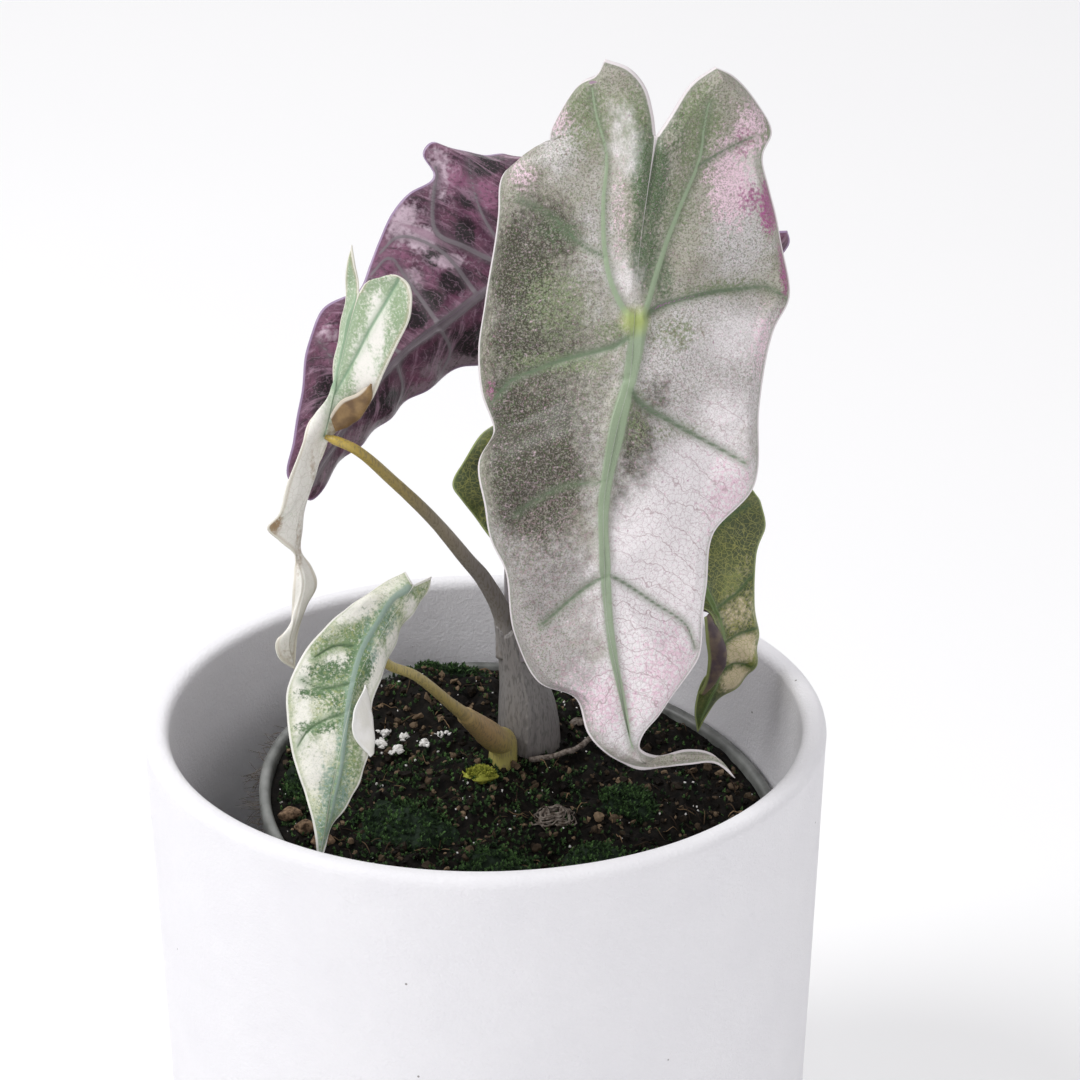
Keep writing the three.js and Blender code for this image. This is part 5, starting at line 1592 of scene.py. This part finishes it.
def grain(place, size, seed, grit, pits):
    """A broken grain: knobbly, with flat spots where it was cut off against its neighbours."""
    points, faces = ball(4)
    rough = 1 + grit * lumpiness(points + seed, 0.75, 91) + pits * lumpiness(points + seed, 0.25, 92)
    shape = points * rough[:, None]
    for direction in np.random.default_rng(int(seed * 10)).normal(size=(7, 3)):
        direction = direction / np.linalg.norm(direction)
        past = np.maximum(shape @ direction - 0.78, 0)
        shape = shape - 0.85 * past[:, None] * direction
    x, y = place
    middle = [x, y, soil_height(x, y) + SEAT_GAP + 0.35 * size[2] + 0.5]
    return shape * size + middle, faces


def make_grains(perlite, clay):
    """Perlite lies as crushed grains, each a few white crumbs together. Each clay bit is one grain."""
    for i, (place, size) in enumerate(PERLITE_GRAINS):
        solids = []
        for part in range(7):
            nudge = random.uniform(-0.85, 0.85, 2) * size[:2] if part else 0
            share = random.uniform(0.2, 0.42) if part else 0.55
            own_size = np.array(size) * share * random.uniform(0.75, 1.3, 3)
            points, faces = grain(np.array(place) + nudge, own_size, 3.7 * i + part, 0.5, 0.25)
            solids.append((points, outward(points, faces)))
        points, faces = join_solids(solids)
        node = f"perlite_{i + 1}"
        make_piece(node, points, faces, [perlite], [node])
    for i, (place, size) in enumerate(CLAY_BITS):
        points, faces = grain(place, size, 31 + 4.1 * i, 0.25, 0.07)
        node = f"clay_bit_{i + 1}"
        make_piece(node, points, faces, [clay], [node])


def make_lime_moss(finish):
    """A tight yellow-green tuft."""
    x, y, wide, deep, high = -1.2, 7.2, 3, 1.9, 1.9
    mat, mat_faces = ball(4)
    mat = mat * (1 + 0.3 * lumpiness(mat, 0.5, 101))[:, None]
    mat = mat * [wide, deep, high * 0.75] + [x, y, soil_height(x, y) + 0.7]
    places, reach = oval_places((x, y), wide, deep, 260)
    lift = high * 0.8 * np.sqrt(np.clip(1 - reach**2, 0, 1)) + 0.5
    points, faces, shades = moss_shoots(places, soil_height(x, y) + lift, 0.5)
    points, faces = join_solids([(mat, outward(mat, mat_faces)), (points, faces)])
    make_piece("lime_moss", points, faces, [finish], ["lime_moss"],
               {"shade": np.r_[np.full(len(mat), 0.4), shades]}, smooth=False)


def make_root_tangle(finish):
    """A matted knot of dead roots."""
    solids = []
    for _ in range(46):
        turn, tilt = random.uniform(0, 2 * math.pi), random.uniform(-0.5, 0.5)
        sweep = np.linspace(0, random.uniform(1.2, 4), 12) + turn
        reach = random.uniform(0.35, 1) * (1 + 0.25 * np.sin(sweep * 3 + turn))
        x = 14 + 4.1 * reach * np.cos(sweep)
        y = -3.5 + 3.2 * reach * np.sin(sweep)
        lift = 1.5 * (1 - reach**2 * 0.6) * random.uniform(0.2, 1)
        z = mix_top(x, y) + 0.4 + lift + tilt * np.sin(sweep)
        solids.append(thin_tube(np.stack([x, y, z], 1), random.uniform(0.12, 0.3), 7))
    points, faces = join_solids(solids)
    make_piece("root_tangle", points, faces, [finish], ["root_tangle"])


def make_surface_root(finish):
    """The root that arches over the mix by the stem."""
    count = 70
    ground = [(27, 27, 0.2), (22.5, 24, 1.2), (18, 17.5, 0.6), (9.5, 13, 0.1)]
    route = [(x, y, soil_height(x, y) + SEAT_GAP + 0.9 + lift) for x, y, lift in ground]
    step = np.c_[np.arange(count), np.zeros((count, 2))]
    kinks = np.stack([0.35 * lumpiness(step, 9, seed) for seed in (111, 112, 113)], 1)
    line = spaced(route, 0, len(route) - 1, count) + kinks
    swell = 1 + 0.22 * lumpiness(line, 1.6, 114)
    points, faces = capped_loft(carried_rings(line, 0.62 * swell, 14))
    make_piece("surface_root", points, faces, [finish], ["surface_root"])


def make_dry_scrap(finish):
    """A curled scrap of dead leaf."""
    steps, sides = 40, 24
    share = np.linspace(-1, 1, steps)
    x, y = 20.5 + 3.0 * share, 31.5 + 0.8 * np.sin(share * 2)
    line = np.stack([x, y, soil_height(x, y) + 1.1 + 0.5 * np.cos(share * 3)], 1)
    around = circle(sides)
    flat = 1 - 0.55 * np.cos(around) ** 2
    width = 1.25 * np.sqrt(np.clip(1.02 - share**2, 0.02, 1))
    swell = flat[None, :] * (1 + 0.25 * lumpiness(line, 1.4, 115))[:, None]
    points, faces = capped_loft(carried_rings(line, width, sides, swell))
    make_piece("dry_scrap", points, faces, [finish], ["dry_scrap"])


def make_root_hairs(finish):
    """Fine roots that hang out over the nursery pot's rim towards the cachepot."""
    solids = []
    for _ in range(70):
        angle = random.uniform(2.75, 3.45)
        root = nursery_points(np.array([angle]), nursery_height - random.uniform(0, 3), -NURSERY_LIP)[0]
        outwards = np.array([math.cos(angle), math.sin(angle), 0])
        room = RIM_RADIUS - POT_WALL - 3 - np.hypot(*root[:2])
        reach = min(random.uniform(1, 4.6), 0.8 * room + 1)
        share = np.linspace(0, 1, 7)[:, None]
        sway = random.normal(size=3) * [0.8, 1.6, 1.2]
        line = root - outwards * 0.5 + outwards * reach * share + sway * share**2
        solids.append(thin_tube(line, 0.07, 4, 0.3))
    points, faces = join_solids(solids)
    make_piece("root_hairs", points, faces, [finish])


# ---------------------------------------------------------------- build the object

make_cachepot()
make_nursery_pot()

# Damp peat is near black and dull. Its loose crumbs and fibres are the same, some of them dry and pale.
peat = mottled("damp peat", ["#060504", "#16120e"], 1.4, 0.5, 0.8)
crumb_peat = mottled("peat crumbs", ["#070504", "#17120e", "#7d6a55"], 0.9, 0.3, 0.7, "shade")
fibre = mottled("dry peat fibre", ["#1f1712", "#332820", "#8c7458"], 1.2, 0.1, 0.8, "shade")

# Moss is dark and damp at its foot, and brighter at the tips of its shoots
moss = mottled("damp moss", ["#0b130f", "#16221b", "#5b7d48"], 0.8, 0.1, 0.6, "shade")
bright_moss = mottled("yellow-green moss", ["#57601c", "#7d8430", "#c9c95c"], 0.8, 0.1, 0.7, "shade")

# Expanded perlite is chalk white and full of pits. Fired clay bits are brown and chalky.
perlite = mottled("expanded perlite", ["#e9e8e6", "#c9c6c2"], 0.5, 0.2, 0.85)
clay = mottled("dry clay bits", ["#43352a", "#87705a"], 0.9, 0.4, 0.9)

# Dead roots are grey-brown and fibrous, and the corm's skin is brown and corky
dry_root = mottled("dead roots", ["#8a8179", "#4d433b"], 0.9, 0.15, 0.85)
corm_skin = mottled("corm skin", ["#5a4030", "#7c5f48"], 1.6, 0.4, 0.85)

make_potting_mix(peat)
make_crumbs(crumb_peat)
make_fibres(fibre)
make_moss(moss)
make_grains(perlite, clay)
make_grit(perlite)
make_lime_moss(bright_moss)
make_root_tangle(dry_root)
make_surface_root(dry_root)
make_dry_scrap(dry_root)
make_root_hairs(dry_root)

# The corm is buried, so its CAD solid stays and only takes a finish
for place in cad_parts["corm"].material_slots:
    place.material = corm_skin

make_stem_base()
make_stalk("front", ["#8d878c", "#96938f", "#8f9a7c"])
make_stalk("twisted", ["#8f8b88", "#96908a", "#a59a84", "#b3a065", "#bba24c"])
make_stalk("back", ["#8d878c", "#8f8a88", "#7f7a6c"])
make_stalk("low", ["#8d878c", "#8f8f78", "#7f8a58"])
make_stalk("small", ["#a8a05a", "#b89a6c", "#bba86a", "#c2b272", "#bdb06a"])

# Each leaf's rows along the midrib, rows along a lobe, and columns out to the margin
make_leaf("front", 230, 48, 58)
make_leaf("twisted", 200, 34, 30)
make_leaf("back", 180, 60, 50)
make_leaf("small", 140, 16, 34)
make_leaf("low", 180, 40, 40)

make_fold("small")
make_fold("twisted")
make_fold("low")

# ---------------------------------------------------------------- floor, light and camera


def make_floor():
    """A plain pale table, big enough to fill every view."""
    material, tree, shader, place = new_finish("white laminate table", Roughness=0.5)
    cloud = add(tree, "ShaderNodeTexNoise", {"Vector": place, "Scale": 3, "Detail": 2})
    colour = add(tree, "ShaderNodeMix", {
        0: cloud.outputs["Fac"], 6: linear("#fafafa"), 7: linear("#f7f7f8"),
    }, data_type="RGBA").outputs[2]
    tree.links.new(colour, shader.inputs["Base Color"])
    mesh = bpy.data.meshes.new("table")
    half = 4  # metres
    mesh.from_pydata([(-half, -half, 0), (half, -half, 0), (half, half, 0), (-half, half, 0)], [],
                     [(0, 1, 2, 3)])
    mesh.materials.append(material)
    floor = bpy.data.objects.new("table", mesh)
    bpy.context.scene.collection.objects.link(floor)


def soft_light(name, place, aim, size, watts, code="#ffffff"):
    """A round soft light. Its size and places are in metres."""
    data = bpy.data.lights.new(name, "AREA")
    data.shape = "DISK"
    data.size = size
    data.energy = watts
    data.color = linear(code)[:3]
    light = bpy.data.objects.new(name, data)
    bpy.context.scene.collection.objects.link(light)
    light.location = place
    light.rotation_euler = (Vector(aim) - Vector(place)).to_track_quat("-Z", "Y").to_euler()


make_floor()
middle = (0, 0, 0.13)
soft_light("window light", (-0.95, -0.3, 1.25), middle, 0.6, 11)
soft_light("fill light", (0.35, -1.6, 0.9), middle, 1.2, 4)
soft_light("light from behind", (-0.2, 1.7, 2.1), (0, 1.2, 0), 2.4, 21)

world = bpy.data.worlds.new("white room")
world.use_nodes = True
world.node_tree.nodes["Background"].inputs["Color"].default_value = linear("#fbfafc")
world.node_tree.nodes["Background"].inputs["Strength"].default_value = 0.585
bpy.context.scene.world = world
bpy.context.scene.view_settings.view_transform = "Standard"

camera_data = bpy.data.cameras.new("camera")
camera_data.lens = 105.1
camera_data.sensor_width = 36
camera_data.clip_end = 20
camera = bpy.data.objects.new("camera", camera_data)
bpy.context.scene.collection.objects.link(camera)
camera.location = (0, -0.5809, 0.4197)
look_down, look_right = math.radians(23.563), math.radians(1.096)
camera.rotation_euler = (math.radians(90) - look_down, 0, -look_right)
bpy.context.scene.camera = camera
